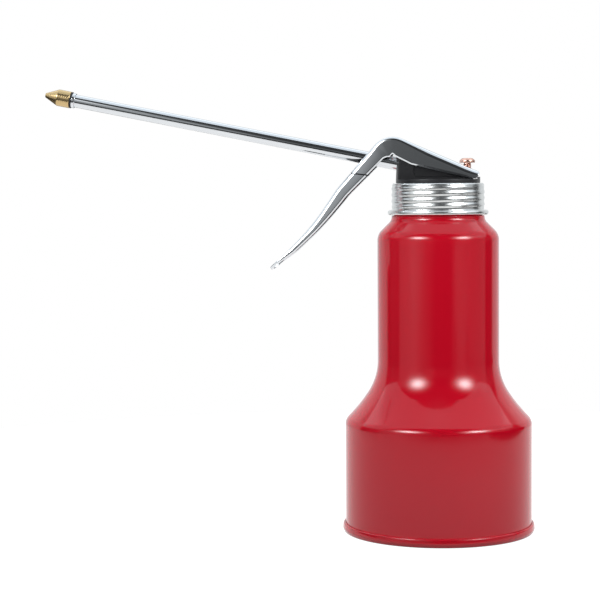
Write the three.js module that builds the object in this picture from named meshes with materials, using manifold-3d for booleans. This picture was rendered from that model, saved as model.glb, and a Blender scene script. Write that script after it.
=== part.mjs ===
// Pump oil can: a red seamed steel can, a screw cap that carries a black pump head,
// a bent channel lever over the head, and a long straight spout with a brass nozzle.
// Millimetres, +Z up. The origin is on the can's axis, in the plane that it stands on,
// and the spout points towards -X.

import * as THREE from 'three';
import { mergeVertices } from 'three/addons/utils/BufferGeometryUtils.js';
import Module from 'manifold-3d';

const wasm = await Module();
wasm.setup();

const degrees = THREE.MathUtils.degToRad;

// Fits and facets
const GAP = 0.3;
const CAN_SIDES = 40;
const PIECE_SIDES = 20;
const BORE_SIDES = 16;
const ARC_STEPS = 2;

// Can: a wide body drawn in to a waist, then a collar and a neck for the cap
const CAN = {
  wall: 0.6,
  foot: 1.3,
  bodyRadius: 46.5,
  bodyTop: 53.8,
  bodyCorner: 5.5,
  bodyTaper: degrees(45),
  flare: 75,
  flareTaper: degrees(33),
  waistBlend: 29.5,
  waistRadius: 30.2,
  waistTop: 145.7,
  shoulderCorner: 7.2,
  shoulderTaper: degrees(45),
  collarBlend: 2,
  collarRadius: 23.1,
  ledge: 158,
  neckRadius: 21.6,
  neckTop: 171.5,
};

// Base plate: a panel set up inside a rolled seam that holds the foot of the can
const BASE = {
  seamRadius: 48,
  seamHeight: 4.5,
  seamRound: 0.6,
  panelRise: 1.4,
  panelRadius: 43.4,
  rimInner: 44.9,
  thickness: 0.8,
  channelFloor: 1,
};

// Screw cap: thin sheet with rolled thread ridges and a curled lip
const CAP = {
  top: 174,
  sheet: 0.8,
  crestRadius: 23.2,
  valleyRadius: 22.6,
  topRound: 1,
  firstCrest: 162.5,
  threadPitch: 3.03,
  crests: 4,
  lipRadius: 25,
  lipTop: 161,
  lipBottom: 158.3,
  lipRound: 0.7,
  boreClearance: 0.4,
};

const GASKET = { innerRadius: 15, outerRadius: 21.4, bottom: 171.8, top: 172.9 };

// Pump head: a wedge with a round front on a disc, and a stem through the cap
const HEAD = {
  bottom: 174.3,
  discTop: 175.5,
  radius: 20.9,
  draft: 0.6,
  width: 14.6,
  frontTop: 188.2,
  saddleX: -13,
  saddleTop: 186.95,
  rearX: 17.2,
  rearTop: 178.4,
  lipX: 19.35,
  lipLean: 0.85,
  lipTop: 177,
  panelFront: -17.2,
  panelRear: 14,
  panelBottom: 177,
  panelMargin: 1.3,
  panelCorner: 2.5,
  panelDepth: 0.6,
  stemRadius: 8.5,
  stemBottom: 167,
  spigotRadius: 7,
  spigotBottom: 161,
};

const CLAMP = {
  washerRadius: 13.5,
  washerTop: 172.9,
  washerBottom: 171.7,
  nutRadius: 13,
  nutTop: 171.4,
  nutBottom: 167.6,
};

// Pump: a plunger on the can's axis, sealed by a gland in the head
const PLUNGER = {
  radius: 3.5,
  domeCentre: 182.93,
  shoulder: 152,
  pinRadius: 2.2,
  pinBottom: 143,
};
const GLAND = {
  radius: 5.2,
  seat: 177.4,
  sealBottom: 177.7,
  sealTop: 179.1,
  bushBottom: 179.4,
  bushTop: 181.4,
  galleryRadius: 4.6,
};
const SPRING_CUP = { radius: 5.8, bottom: 150.4, top: 151.7 };
const SPRING = { radius: 4.3, wireRadius: 0.6, bottom: 129.6, top: 149.4, turns: 6 };
const SPRING_STEPS_A_TURN = 8;
const SPRING_WIRE_SIDES = 5;
const BARREL = {
  radius: 8,
  socketRadius: 8.4,
  socketBore: 7.3,
  boreRadius: 6.4,
  top: 166.7,
  socketFloor: 160.7,
  shoulder: 160,
  bottom: 119.7,
};
const KEEPER = { radius: 6.1, holeRadius: 2, bottom: 127.8, top: 128.6 };
const INLET = {
  boreRadius: 1.6,
  tailRadius: 2.9,
  tailBottom: 103,
  flangeRadius: 8,
  flangeBottom: 117,
  flangeTop: 119.4,
  plugRadius: 6.1,
  plugTop: 127.5,
  chamberRadius: 3.6,
  seatBottom: 120,
  seatTop: 121.8,
  ballRadius: 3,
  ballCentre: 123,
};
const DIP_TUBE = { innerRadius: 3.2, outerRadius: 3.9, bottom: 10.5, top: 116.7 };
const STRAINER = { holeRadius: 2, radius: 6, bore: 4.2, bottom: 5.5, floor: 7.5, top: 15.5, round: 0.6 };

// Outlet: a ball in an upright chamber between the gland's gallery and the spout
const OUTLET = {
  x: -10.6,
  channelHeight: 176,
  channelRadius: 1.1,
  seatBottom: 177.2,
  seatTop: 178.4,
  chamberRadius: 2.4,
  chamberTop: 183.2,
  feedRadius: 1.5,
  ballRadius: 2,
  ballCentre: 179.75,
};

// Spout: lengths are along its axis from the point where it enters the head
const SPOUT = {
  entryX: -21.33,
  entryHeight: 183.93,
  rise: degrees(11.47),
  radius: 3.25,
  boreRadius: 2.45,
  inset: 7.2,
  feedEnd: 11.6,
  length: 171,
};
const FERRULE = { radius: 3.95, start: 163.9, end: 165.8 };
const NOZZLE_SEAL = { radius: 4, start: 166.1, end: 167.1 };
const NOZZLE = {
  radius: 4.2,
  start: 167.4,
  shoulder: 173.9,
  tip: 180.5,
  tipRadius: 1.1,
  socketEnd: 171.4,
  orificeRadius: 0.7,
};

// Lever: a sheet channel whose web runs up from a tail hook, over an apex and down a leg
const LEVER = {
  width: 18,
  sheet: 1.1,
  bend: 2.3,
  innerBend: 0.15,
  tailX: 19.9,
  cornerX: -25.34,
  cornerHeight: 199.48,
  rearSlope: degrees(23.62),
  legSlope: degrees(48.67),
  apexRadius: 12,
  stations: 56,
  bendSteps: 3,
  tongueStart: 129,
  tongueHalfWidth: 5,
  slotHalfWidth: 4,
  slotClearance: 0.6,
  slotFront: -60,
  slotRear: -18,
  holeLength: 6.8,
  holeWidth: 5.2,
  swing: degrees(8),
  pivotX: 18.6,
  pivotHeight: 176.3,
};
const LEG_POINTS = [
  [-38.53, 184.48], [-45.14, 176.98], [-50.92, 170.08], [-56.54, 161.81], [-62.53, 153.81],
  [-69.16, 146.33], [-76.2, 139.24], [-83.8, 132.5],
];
// Distance along the web from the tail, and the flange's depth there
const FLANGE_DEPTHS = [
  [0, 3.5], [8, 5.6], [18.6, 7.6], [31.6, 9.9], [40, 9.4], [45.5, 8.5], [51.5, 9.6], [54.5, 9.3],
  [57.6, 7.8], [66, 7.25], [80, 6.3], [88, 5.85], [101, 4.5], [114, 3.35], [121.5, 2.9], [128, 2],
  [131.5, 1.6], [140, 1.6],
];
const TAIL_HOOK = [
  [18.4, 179.6], [19, 179.95], [20.1, 179.4], [20.66, 178.5], [19, 176], [18.1, 176.6], [19, 178.1],
];
const TAIL_HOOK_WIDTH = 17.6;

const KEEPER_SCREW = {
  x: 14.52,
  headRadius: 3.9,
  headBottom: 184,
  headRim: 185.2,
  headTop: 186.3,
  crownRadius: 2.2,
  shankRadius: 2,
  bottom: 174.9,
};

const FINISH = {
  redPaint: [0xa81424, 0.2, 0.1],
  chrome: [0xc9ccd1, 0.12, 1],
  zinc: [0xd0cdc6, 0.25, 1],
  brass: [0xd2ab62, 0.28, 1],
  copper: [0xd9946f, 0.25, 1],
  steel: [0x9aa0a6, 0.35, 1],
  blackPlastic: [0x1d1d1f, 0.5, 0],
  rubber: [0x141414, 0.85, 0],
  clearPlastic: [0xd9ddd8, 0.4, 0],
};

// Geometry helpers
function weld(geometry) {
  const bare = geometry.clone();
  bare.deleteAttribute('normal');
  bare.deleteAttribute('uv');
  const welded = mergeVertices(bare);
  const kept = [];
  for (let i = 0; i < welded.index.count; i += 3) {
    const corners = [0, 1, 2].map((k) => welded.index.getX(i + k));
    if (new Set(corners).size === 3) kept.push(...corners);
  }
  welded.setIndex(kept);
  return welded;
}

function toSolid(geometry) {
  const welded = weld(geometry);
  const vertProperties = new Float32Array(welded.attributes.position.array);
  const triVerts = new Uint32Array(welded.index.array);
  return new wasm.Manifold(new wasm.Mesh({ numProp: 3, vertProperties, triVerts }));
}

function toGeometry(solid) {
  const mesh = solid.getMesh();
  const geometry = new THREE.BufferGeometry();
  geometry.setAttribute('position', new THREE.BufferAttribute(new Float32Array(mesh.vertProperties), 3));
  geometry.setIndex(new THREE.BufferAttribute(new Uint32Array(mesh.triVerts), 1));
  return geometry;
}

function cut(geometry, ...cutters) {
  return toGeometry(cutters.reduce((solid, cutter) => solid.subtract(toSolid(cutter)), toSolid(geometry)));
}

function join(geometry, ...others) {
  return toGeometry(others.reduce((solid, other) => solid.add(toSolid(other)), toSolid(geometry)));
}

// A profile of [radius, height] pairs runs up the outside, and closes on itself or on the axis
function revolve(profile, sides = PIECE_SIDES) {
  const loop = profile.map(([radius, height]) => new THREE.Vector2(radius, height));
  if (loop[0].x > 0) loop.push(loop[0].clone());
  return new THREE.LatheGeometry(loop, sides).rotateX(Math.PI / 2);
}

function ring(innerRadius, outerRadius, bottom, top, sides = PIECE_SIDES) {
  return revolve(
    [[innerRadius, bottom], [outerRadius, bottom], [outerRadius, top], [innerRadius, top]],
    sides,
  );
}

function rod(radius, bottom, top, sides = BORE_SIDES) {
  return revolve([[0, bottom], [radius, bottom], [radius, top], [0, top]], sides);
}

// A shape drawn in X and Z, given its width across Y
function acrossY(shape, width, centre = 0) {
  const geometry = new THREE.ExtrudeGeometry(shape, { depth: width, bevelEnabled: false });
  return geometry.translate(0, 0, -width / 2 - centre).rotateX(Math.PI / 2);
}

function outline(points) {
  return new THREE.Shape(points.map(([x, z]) => new THREE.Vector2(x, z)));
}

const oilCan = new THREE.Group();

function piece(name, geometry, [color, roughness, metalness], parent = oilCan) {
  const material = new THREE.MeshStandardMaterial({ color, roughness, metalness });
  const mesh = new THREE.Mesh(weld(geometry), material);
  mesh.name = name;
  parent.add(mesh);
}

// Can shell: each taper is a round corner, a straight cone and a hollow blend, with a slower flare between
function addTaper(path, start, { fromRadius, toRadius, corner, flare, blend, angle, blendAngle }, inset) {
  const flareDrop = flare * (Math.cos(blendAngle) - Math.cos(angle));
  const rounds = corner * (1 - Math.cos(angle)) + flareDrop + blend * (1 - Math.cos(blendAngle));
  const cone = (fromRadius - toRadius - rounds) / Math.tan(angle);
  const coneEnd = start + corner * Math.sin(angle) + cone;
  const flareEnd = coneEnd + flare * (Math.sin(angle) - Math.sin(blendAngle));
  const blendX = toRadius + blend;
  const blendZ = flareEnd + blend * Math.sin(blendAngle);
  const flareX = blendX + (flare - blend) * Math.cos(blendAngle);
  const flareZ = blendZ + (flare - blend) * Math.sin(blendAngle);
  path.absarc(fromRadius - corner, start, corner - inset, 0, angle, false);
  path.absarc(flareX, flareZ, flare + inset, Math.PI + angle, Math.PI + blendAngle, true);
  path.absarc(blendX, blendZ, blend + inset, Math.PI + blendAngle, Math.PI, true);
}

function wallProfile(inset) {
  const path = new THREE.Path();
  path.moveTo(CAN.bodyRadius - inset, CAN.foot);
  path.lineTo(CAN.bodyRadius - inset, CAN.bodyTop);
  addTaper(path, CAN.bodyTop, {
    fromRadius: CAN.bodyRadius,
    toRadius: CAN.waistRadius,
    corner: CAN.bodyCorner,
    flare: CAN.flare,
    blend: CAN.waistBlend,
    angle: CAN.bodyTaper,
    blendAngle: CAN.flareTaper,
  }, inset);
  addTaper(path, CAN.waistTop, {
    fromRadius: CAN.waistRadius,
    toRadius: CAN.collarRadius,
    corner: CAN.shoulderCorner,
    flare: CAN.collarBlend,
    blend: CAN.collarBlend,
    angle: CAN.shoulderTaper,
    blendAngle: CAN.shoulderTaper / 2,
  }, inset);
  path.lineTo(CAN.collarRadius - inset, CAN.ledge - inset);
  path.lineTo(CAN.neckRadius - inset, CAN.ledge - inset);
  path.lineTo(CAN.neckRadius - inset, CAN.neckTop);
  return path.getPoints(ARC_STEPS).map((point) => [point.x, point.y]);
}

const canShell = revolve([...wallProfile(0), ...wallProfile(CAN.wall).reverse()], CAN_SIDES);
piece('can_shell', canShell, FINISH.redPaint);

// Base plate and seam
const seamInner = CAN.bodyRadius + GAP;
const chuckWall = CAN.bodyRadius - CAN.wall - GAP;
const panelTop = BASE.panelRise + BASE.thickness;
piece('base_plate', revolve([
  [0, BASE.panelRise],
  [BASE.panelRadius, BASE.panelRise],
  [BASE.rimInner, 0],
  [BASE.seamRadius - BASE.seamRound, 0],
  [BASE.seamRadius, BASE.seamRound],
  [BASE.seamRadius, BASE.seamHeight - BASE.seamRound],
  [BASE.seamRadius - BASE.seamRound, BASE.seamHeight],
  [seamInner, BASE.seamHeight],
  [seamInner, BASE.channelFloor],
  [chuckWall, BASE.channelFloor],
  [chuckWall, panelTop],
  [0, panelTop],
], CAN_SIDES), FINISH.redPaint);

// Screw cap
function capProfile() {
  const bore = CAN.neckRadius + CAP.boreClearance;
  const stemHole = HEAD.stemRadius + GAP;
  const ridges = Array.from({ length: CAP.crests }, (_, i) => CAP.firstCrest + i * CAP.threadPitch);
  const halfPitch = CAP.threadPitch / 2;
  return [
    [bore, CAP.lipBottom],
    [CAP.lipRadius - CAP.lipRound, CAP.lipBottom],
    [CAP.lipRadius, CAP.lipBottom + CAP.lipRound],
    [CAP.lipRadius, CAP.lipTop - CAP.lipRound],
    [CAP.lipRadius - CAP.lipRound, CAP.lipTop],
    ...ridges.flatMap((crest) => [
      [CAP.valleyRadius, crest - halfPitch],
      [CAP.crestRadius, crest],
    ]),
    [CAP.valleyRadius, CAP.top - CAP.topRound],
    [CAP.valleyRadius - CAP.topRound, CAP.top],
    [stemHole, CAP.top],
    [stemHole, CAP.top - CAP.sheet],
    [bore, CAP.top - CAP.sheet],
  ];
}

piece('screw_cap', revolve(capProfile(), CAN_SIDES), FINISH.zinc);
piece('cap_gasket', ring(GASKET.innerRadius, GASKET.outerRadius, GASKET.bottom, GASKET.top), FINISH.rubber);

// Spout frame: its local Z runs from the head to the nozzle
const spoutFrame = new THREE.Group();
spoutFrame.position.set(SPOUT.entryX, 0, SPOUT.entryHeight);
spoutFrame.rotation.y = SPOUT.rise - Math.PI / 2;
spoutFrame.updateMatrix();
oilCan.add(spoutFrame);

// Pump head
function headTop(x) {
  const [fromX, fromHeight, toX, toHeight] = x < HEAD.saddleX
    ? [-HEAD.radius, HEAD.frontTop, HEAD.saddleX, HEAD.saddleTop]
    : [HEAD.saddleX, HEAD.saddleTop, HEAD.rearX, HEAD.rearTop];
  return THREE.MathUtils.mapLinear(x, fromX, toX, fromHeight, toHeight);
}

function headWedge() {
  const wedge = acrossY(outline([
    [-HEAD.radius, HEAD.bottom],
    [HEAD.rearX, HEAD.bottom],
    [HEAD.rearX, HEAD.rearTop],
    [HEAD.saddleX, HEAD.saddleTop],
    [-HEAD.radius, HEAD.frontTop],
  ]), HEAD.width);
  const rearLip = acrossY(outline([
    [HEAD.lipX, HEAD.bottom],
    [HEAD.radius, HEAD.bottom],
    [HEAD.radius, HEAD.lipTop],
    [HEAD.lipX + HEAD.lipLean, HEAD.lipTop],
    [HEAD.lipX, HEAD.discTop],
  ]), HEAD.width);
  const roundFront = revolve([
    [0, HEAD.bottom],
    [HEAD.radius, HEAD.bottom],
    [HEAD.radius - HEAD.draft, HEAD.frontTop],
    [0, HEAD.frontTop],
  ], CAN_SIDES);
  return toGeometry(toSolid(wedge).add(toSolid(rearLip)).intersect(toSolid(roundFront)));
}

function sidePanel(side) {
  const shape = new THREE.Shape();
  const corner = HEAD.panelCorner;
  shape.moveTo(HEAD.panelFront, headTop(HEAD.panelFront) - HEAD.panelMargin);
  shape.absarc(HEAD.panelFront + corner, HEAD.panelBottom + corner, corner, Math.PI, 1.5 * Math.PI, false);
  shape.lineTo(HEAD.panelRear, HEAD.panelBottom);
  shape.lineTo(HEAD.panelRear, headTop(HEAD.panelRear) - HEAD.panelMargin);
  shape.lineTo(HEAD.saddleX, HEAD.saddleTop - HEAD.panelMargin);
  return acrossY(shape, 2 * HEAD.panelDepth, side * HEAD.width / 2);
}

function outletPassages() {
  const chamber = revolve([
    [0, OUTLET.channelHeight],
    [OUTLET.channelRadius, OUTLET.channelHeight],
    [OUTLET.channelRadius, OUTLET.seatBottom],
    [OUTLET.chamberRadius, OUTLET.seatTop],
    [OUTLET.chamberRadius, OUTLET.chamberTop],
    [0, OUTLET.chamberTop],
  ], BORE_SIDES).translate(OUTLET.x, 0, 0);
  const channel = rod(OUTLET.channelRadius, OUTLET.x - OUTLET.channelRadius, 0)
    .rotateY(Math.PI / 2)
    .translate(0, 0, OUTLET.channelHeight);
  const socket = rod(SPOUT.radius + GAP, -SPOUT.inset - GAP, SPOUT.inset).applyMatrix4(spoutFrame.matrix);
  const feed = rod(OUTLET.feedRadius, -SPOUT.feedEnd, 0).applyMatrix4(spoutFrame.matrix);
  return [chamber, channel, socket, feed];
}

function pumpHead() {
  const body = join(
    headWedge(),
    rod(HEAD.radius, HEAD.bottom, HEAD.discTop, CAN_SIDES),
    rod(HEAD.stemRadius, HEAD.stemBottom, HEAD.discTop, PIECE_SIDES),
    rod(HEAD.spigotRadius, HEAD.spigotBottom, HEAD.discTop, PIECE_SIDES),
  );
  const glandBore = rod(GLAND.radius + GAP, GLAND.seat, HEAD.frontTop, PIECE_SIDES);
  const gallery = rod(GLAND.galleryRadius, HEAD.spigotBottom - GAP, HEAD.frontTop);
  const screwHole = rod(KEEPER_SCREW.shankRadius + GAP, KEEPER_SCREW.bottom - GAP, HEAD.frontTop)
    .translate(KEEPER_SCREW.x, 0, 0);
  return cut(body, sidePanel(-1), sidePanel(1), glandBore, gallery, screwHole, ...outletPassages());
}

piece('pump_housing', pumpHead(), FINISH.blackPlastic);

// Clamp under the cap
function hexNut(radius, bore, bottom, top) {
  const corners = Array.from({ length: 6 }, (_, i) => [
    radius * Math.cos(degrees(60 * i)),
    radius * Math.sin(degrees(60 * i)),
  ]);
  const shape = outline(corners);
  shape.holes.push(new THREE.Path().absarc(0, 0, bore, 0, 2 * Math.PI, true));
  const settings = { depth: top - bottom, bevelEnabled: false, curveSegments: PIECE_SIDES };
  return new THREE.ExtrudeGeometry(shape, settings).translate(0, 0, bottom);
}

const stemBore = HEAD.stemRadius + GAP;
piece(
  'clamp_washer',
  ring(stemBore, CLAMP.washerRadius, CLAMP.washerBottom, CLAMP.washerTop),
  FINISH.steel,
);
piece('clamp_nut', hexNut(CLAMP.nutRadius, stemBore, CLAMP.nutBottom, CLAMP.nutTop), FINISH.steel);

// Gland, plunger and return spring
const plungerBore = PLUNGER.radius + GAP;
piece('rod_seal', ring(plungerBore, GLAND.radius, GLAND.sealBottom, GLAND.sealTop), FINISH.rubber);
piece('gland_bush', ring(plungerBore, GLAND.radius, GLAND.bushBottom, GLAND.bushTop), FINISH.brass);

function plunger() {
  const dome = new THREE.Path().absarc(0, PLUNGER.domeCentre, PLUNGER.radius, 0, Math.PI / 2, false);
  return revolve([
    [0, PLUNGER.pinBottom],
    [PLUNGER.pinRadius, PLUNGER.pinBottom],
    [PLUNGER.pinRadius, PLUNGER.shoulder],
    [PLUNGER.radius, PLUNGER.shoulder],
    ...dome.getPoints(ARC_STEPS).slice(0, -1).map((point) => [point.x, point.y]),
    [0, PLUNGER.domeCentre + PLUNGER.radius],
  ]);
}

piece('plunger', plunger(), FINISH.steel);
piece(
  'spring_cup',
  ring(PLUNGER.pinRadius + GAP, SPRING_CUP.radius, SPRING_CUP.bottom, SPRING_CUP.top),
  FINISH.steel,
);

class Helix extends THREE.Curve {
  getPoint(t, target = new THREE.Vector3()) {
    const angle = 2 * Math.PI * SPRING.turns * t;
    const height = THREE.MathUtils.lerp(SPRING.bottom, SPRING.top, t);
    return target.set(SPRING.radius * Math.cos(angle), SPRING.radius * Math.sin(angle), height);
  }
}

function leastGap(curve, turns, wireRadius) {
  const samplesATurn = 40;
  const points = curve.getPoints(turns * samplesATurn);
  let least = Infinity;
  for (let i = 0; i < points.length; i += 1) {
    for (let j = i + samplesATurn / 2; j < points.length; j += 1) {
      least = Math.min(least, points[i].distanceTo(points[j]));
    }
  }
  return least - 2 * wireRadius;
}

function returnSpring() {
  const curve = new Helix();
  const gap = leastGap(curve, SPRING.turns, SPRING.wireRadius);
  console.log(`return_spring: least gap to itself ${gap.toFixed(2)} mm`);
  const section = outline(Array.from({ length: SPRING_WIRE_SIDES }, (_, i) => {
    const angle = 2 * Math.PI * i / SPRING_WIRE_SIDES;
    return [SPRING.wireRadius * Math.cos(angle), SPRING.wireRadius * Math.sin(angle)];
  }));
  const steps = SPRING.turns * SPRING_STEPS_A_TURN;
  return new THREE.ExtrudeGeometry(section, { steps, extrudePath: curve, bevelEnabled: false });
}

piece('return_spring', returnSpring(), FINISH.steel);

// Pump barrel, inlet valve and dip tube
piece('pump_barrel', revolve([
  [BARREL.boreRadius, BARREL.bottom],
  [BARREL.radius, BARREL.bottom],
  [BARREL.radius, BARREL.shoulder],
  [BARREL.socketRadius, BARREL.shoulder],
  [BARREL.socketRadius, BARREL.top],
  [BARREL.socketBore, BARREL.top],
  [BARREL.socketBore, BARREL.socketFloor],
  [BARREL.boreRadius, BARREL.socketFloor],
]), FINISH.brass);
piece('ball_keeper', ring(KEEPER.holeRadius, KEEPER.radius, KEEPER.bottom, KEEPER.top), FINISH.brass);
piece('inlet_seat', revolve([
  [INLET.boreRadius, INLET.tailBottom],
  [INLET.tailRadius, INLET.tailBottom],
  [INLET.tailRadius, INLET.flangeBottom],
  [INLET.flangeRadius, INLET.flangeBottom],
  [INLET.flangeRadius, INLET.flangeTop],
  [INLET.plugRadius, INLET.flangeTop],
  [INLET.plugRadius, INLET.plugTop],
  [INLET.chamberRadius, INLET.plugTop],
  [INLET.chamberRadius, INLET.seatTop],
  [INLET.boreRadius, INLET.seatBottom],
]), FINISH.brass);

function ball(radius, x, height) {
  return new THREE.SphereGeometry(radius, BORE_SIDES, BORE_SIDES / 2)
    .rotateX(Math.PI / 2)
    .translate(x, 0, height);
}

piece('inlet_ball', ball(INLET.ballRadius, 0, INLET.ballCentre), FINISH.steel);
piece('outlet_ball', ball(OUTLET.ballRadius, OUTLET.x, OUTLET.ballCentre), FINISH.steel);
piece(
  'dip_tube',
  ring(DIP_TUBE.innerRadius, DIP_TUBE.outerRadius, DIP_TUBE.bottom, DIP_TUBE.top),
  FINISH.clearPlastic,
);
piece('strainer', revolve([
  [STRAINER.holeRadius, STRAINER.bottom],
  [STRAINER.radius - STRAINER.round, STRAINER.bottom],
  [STRAINER.radius, STRAINER.bottom + STRAINER.round],
  [STRAINER.radius, STRAINER.top],
  [STRAINER.bore, STRAINER.top],
  [STRAINER.bore, STRAINER.floor],
  [STRAINER.holeRadius, STRAINER.floor],
]), FINISH.brass);

// Spout and nozzle
piece(
  'spout_tube',
  ring(SPOUT.boreRadius, SPOUT.radius, -SPOUT.inset, SPOUT.length),
  FINISH.chrome,
  spoutFrame,
);
const spoutBore = SPOUT.radius + GAP;
piece(
  'spout_ferrule',
  ring(spoutBore, FERRULE.radius, FERRULE.start, FERRULE.end),
  FINISH.chrome,
  spoutFrame,
);
piece(
  'nozzle_seal',
  ring(spoutBore, NOZZLE_SEAL.radius, NOZZLE_SEAL.start, NOZZLE_SEAL.end),
  FINISH.rubber,
  spoutFrame,
);
piece('nozzle_tip', revolve([
  [spoutBore, NOZZLE.start],
  [NOZZLE.radius, NOZZLE.start],
  [NOZZLE.radius, NOZZLE.shoulder],
  [NOZZLE.tipRadius, NOZZLE.tip],
  [NOZZLE.orificeRadius, NOZZLE.tip],
  [NOZZLE.orificeRadius, NOZZLE.socketEnd],
  [spoutBore, NOZZLE.socketEnd],
]), FINISH.brass, spoutFrame);

// Lever
function leverPath() {
  const reach = LEVER.apexRadius * Math.tan((LEVER.rearSlope + LEVER.legSlope) / 2);
  const rear = new THREE.Vector2(Math.cos(LEVER.rearSlope), -Math.sin(LEVER.rearSlope));
  const corner = new THREE.Vector2(LEVER.cornerX, LEVER.cornerHeight);
  const arcStart = corner.clone().addScaledVector(rear, reach);
  const centre = arcStart.clone().addScaledVector(new THREE.Vector2(rear.y, -rear.x), LEVER.apexRadius);
  const tail = corner.clone().addScaledVector(rear, (LEVER.tailX - LEVER.cornerX) / rear.x);
  const path = new THREE.Path();
  path.moveTo(tail.x, tail.y);
  path.lineTo(arcStart.x, arcStart.y);
  const from = Math.PI / 2 - LEVER.rearSlope;
  const to = Math.PI / 2 + LEVER.legSlope;
  path.absarc(centre.x, centre.y, LEVER.apexRadius, from, to, false);
  path.splineThru(LEG_POINTS.map(([x, z]) => new THREE.Vector2(x, z)));
  return path;
}

function flangeDepth(distance) {
  const next = FLANGE_DEPTHS.findIndex(([at]) => at > distance);
  const [[from, fromDepth], [to, toDepth]] = FLANGE_DEPTHS.slice(next - 1, next + 1);
  return THREE.MathUtils.mapLinear(distance, from, to, fromDepth, toDepth);
}

// The tongue at the finger end rounds off in plan
function halfWidth(distance, length) {
  const along = Math.max(0, (distance - LEVER.tongueStart) / (length - LEVER.tongueStart));
  const drop = LEVER.width / 2 - LEVER.tongueHalfWidth;
  return LEVER.width / 2 - drop * (1 - Math.sqrt(1 - along * along));
}

// One half of a channel section, as [across, below the web's face], from the flange's foot
function halfSection(half, depth) {
  const outerBend = Math.min(LEVER.bend, depth - LEVER.innerBend);
  const innerBend = Math.max(LEVER.innerBend, outerBend - LEVER.sheet);
  const bend = (radius, inset) => Array.from({ length: LEVER.bendSteps + 1 }, (_, i) => {
    const angle = (Math.PI / 2) * i / LEVER.bendSteps;
    return [
      half - inset - radius + radius * Math.cos(angle),
      -inset - radius + radius * Math.sin(angle),
    ];
  });
  return {
    outer: [[half, -depth], ...bend(outerBend, 0)],
    inner: [[half - LEVER.sheet, -depth], ...bend(innerBend, LEVER.sheet)],
  };
}

function channelSection(half, depth) {
  const mirror = (points) => points.map(([across, below]) => [-across, below]).reverse();
  const { outer, inner } = halfSection(half, depth);
  return [...outer, ...mirror(outer), ...mirror(inner).reverse(), ...inner.reverse()];
}

function loft(rings, capPoints) {
  const count = rings[0].length;
  const positions = rings.flat().flatMap((point) => [point.x, point.y, point.z]);
  const faces = [];
  for (let ringIndex = 0; ringIndex < rings.length - 1; ringIndex += 1) {
    for (let i = 0; i < count; i += 1) {
      const here = ringIndex * count + i;
      const beside = ringIndex * count + (i + 1) % count;
      faces.push(here, here + count, beside, beside, here + count, beside + count);
    }
  }
  const cap = (points) => THREE.ShapeUtils.triangulateShape(points, []);
  const last = (rings.length - 1) * count;
  cap(capPoints[0]).forEach(([a, b, c]) => faces.push(a, b, c));
  cap(capPoints[1]).forEach(([a, b, c]) => faces.push(last + a, last + c, last + b));
  const geometry = new THREE.BufferGeometry();
  geometry.setAttribute('position', new THREE.Float32BufferAttribute(positions, 3));
  geometry.setIndex(faces);
  return geometry;
}

function leverChannel() {
  const path = leverPath();
  const length = path.getLength();
  const sections = [];
  const rings = [];
  for (let i = 0; i <= LEVER.stations; i += 1) {
    const t = i / LEVER.stations;
    const at = path.getPointAt(t);
    const along = path.getTangentAt(t);
    const section = channelSection(halfWidth(t * length, length), flangeDepth(t * length));
    sections.push(section.map(([across, below]) => new THREE.Vector2(across, below)));
    rings.push(section.map(([across, below]) => new THREE.Vector3(
      at.x + along.y * below,
      across,
      at.y - along.x * below,
    )));
  }
  return loft(rings, [sections[0], sections[LEVER.stations]]);
}

// The slot takes the spout from rest to the full swing, as seen from the lever
function spoutSlot() {
  const reach = SPOUT.radius + LEVER.slotClearance;
  const entry = new THREE.Vector2(SPOUT.entryX, SPOUT.entryHeight);
  const pivot = new THREE.Vector2(LEVER.pivotX, LEVER.pivotHeight);
  const raised = entry.clone().rotateAround(pivot, -LEVER.swing);
  const steep = SPOUT.rise + LEVER.swing;
  const line = (point, slope, x) => point.y + (point.x - x) * Math.tan(slope);
  const below = (x) => line(entry, SPOUT.rise, x) - reach / Math.cos(SPOUT.rise);
  const above = (x) => line(raised, steep, x) + reach / Math.cos(steep);
  return acrossY(outline([
    [LEVER.slotFront, below(LEVER.slotFront)],
    [LEVER.slotRear, below(LEVER.slotRear)],
    [LEVER.slotRear, above(LEVER.slotRear)],
    [LEVER.slotFront, above(LEVER.slotFront)],
  ]), 2 * LEVER.slotHalfWidth);
}

function screwSlot() {
  const round = LEVER.holeWidth / 2;
  const straight = LEVER.holeLength / 2 - round;
  const shape = new THREE.Shape();
  shape.absarc(straight, 0, round, -Math.PI / 2, Math.PI / 2, false);
  shape.absarc(-straight, 0, round, Math.PI / 2, 1.5 * Math.PI, false);
  const depth = KEEPER_SCREW.headTop - HEAD.rearTop;
  const settings = { depth, bevelEnabled: false, curveSegments: BORE_SIDES / 2 };
  return new THREE.ExtrudeGeometry(shape, settings).translate(KEEPER_SCREW.x, 0, HEAD.rearTop);
}

const tailHook = acrossY(outline(TAIL_HOOK), TAIL_HOOK_WIDTH);
piece('lever', cut(join(leverChannel(), tailHook), spoutSlot(), screwSlot()), FINISH.chrome);

// Keeper screw
piece('keeper_screw', revolve([
  [0, KEEPER_SCREW.bottom],
  [KEEPER_SCREW.shankRadius, KEEPER_SCREW.bottom],
  [KEEPER_SCREW.shankRadius, KEEPER_SCREW.headBottom],
  [KEEPER_SCREW.headRadius, KEEPER_SCREW.headBottom],
  [KEEPER_SCREW.headRadius, KEEPER_SCREW.headRim],
  [KEEPER_SCREW.crownRadius, KEEPER_SCREW.headTop],
  [0, KEEPER_SCREW.headTop],
]).translate(KEEPER_SCREW.x, 0, 0), FINISH.copper);

export default oilCan;
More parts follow.
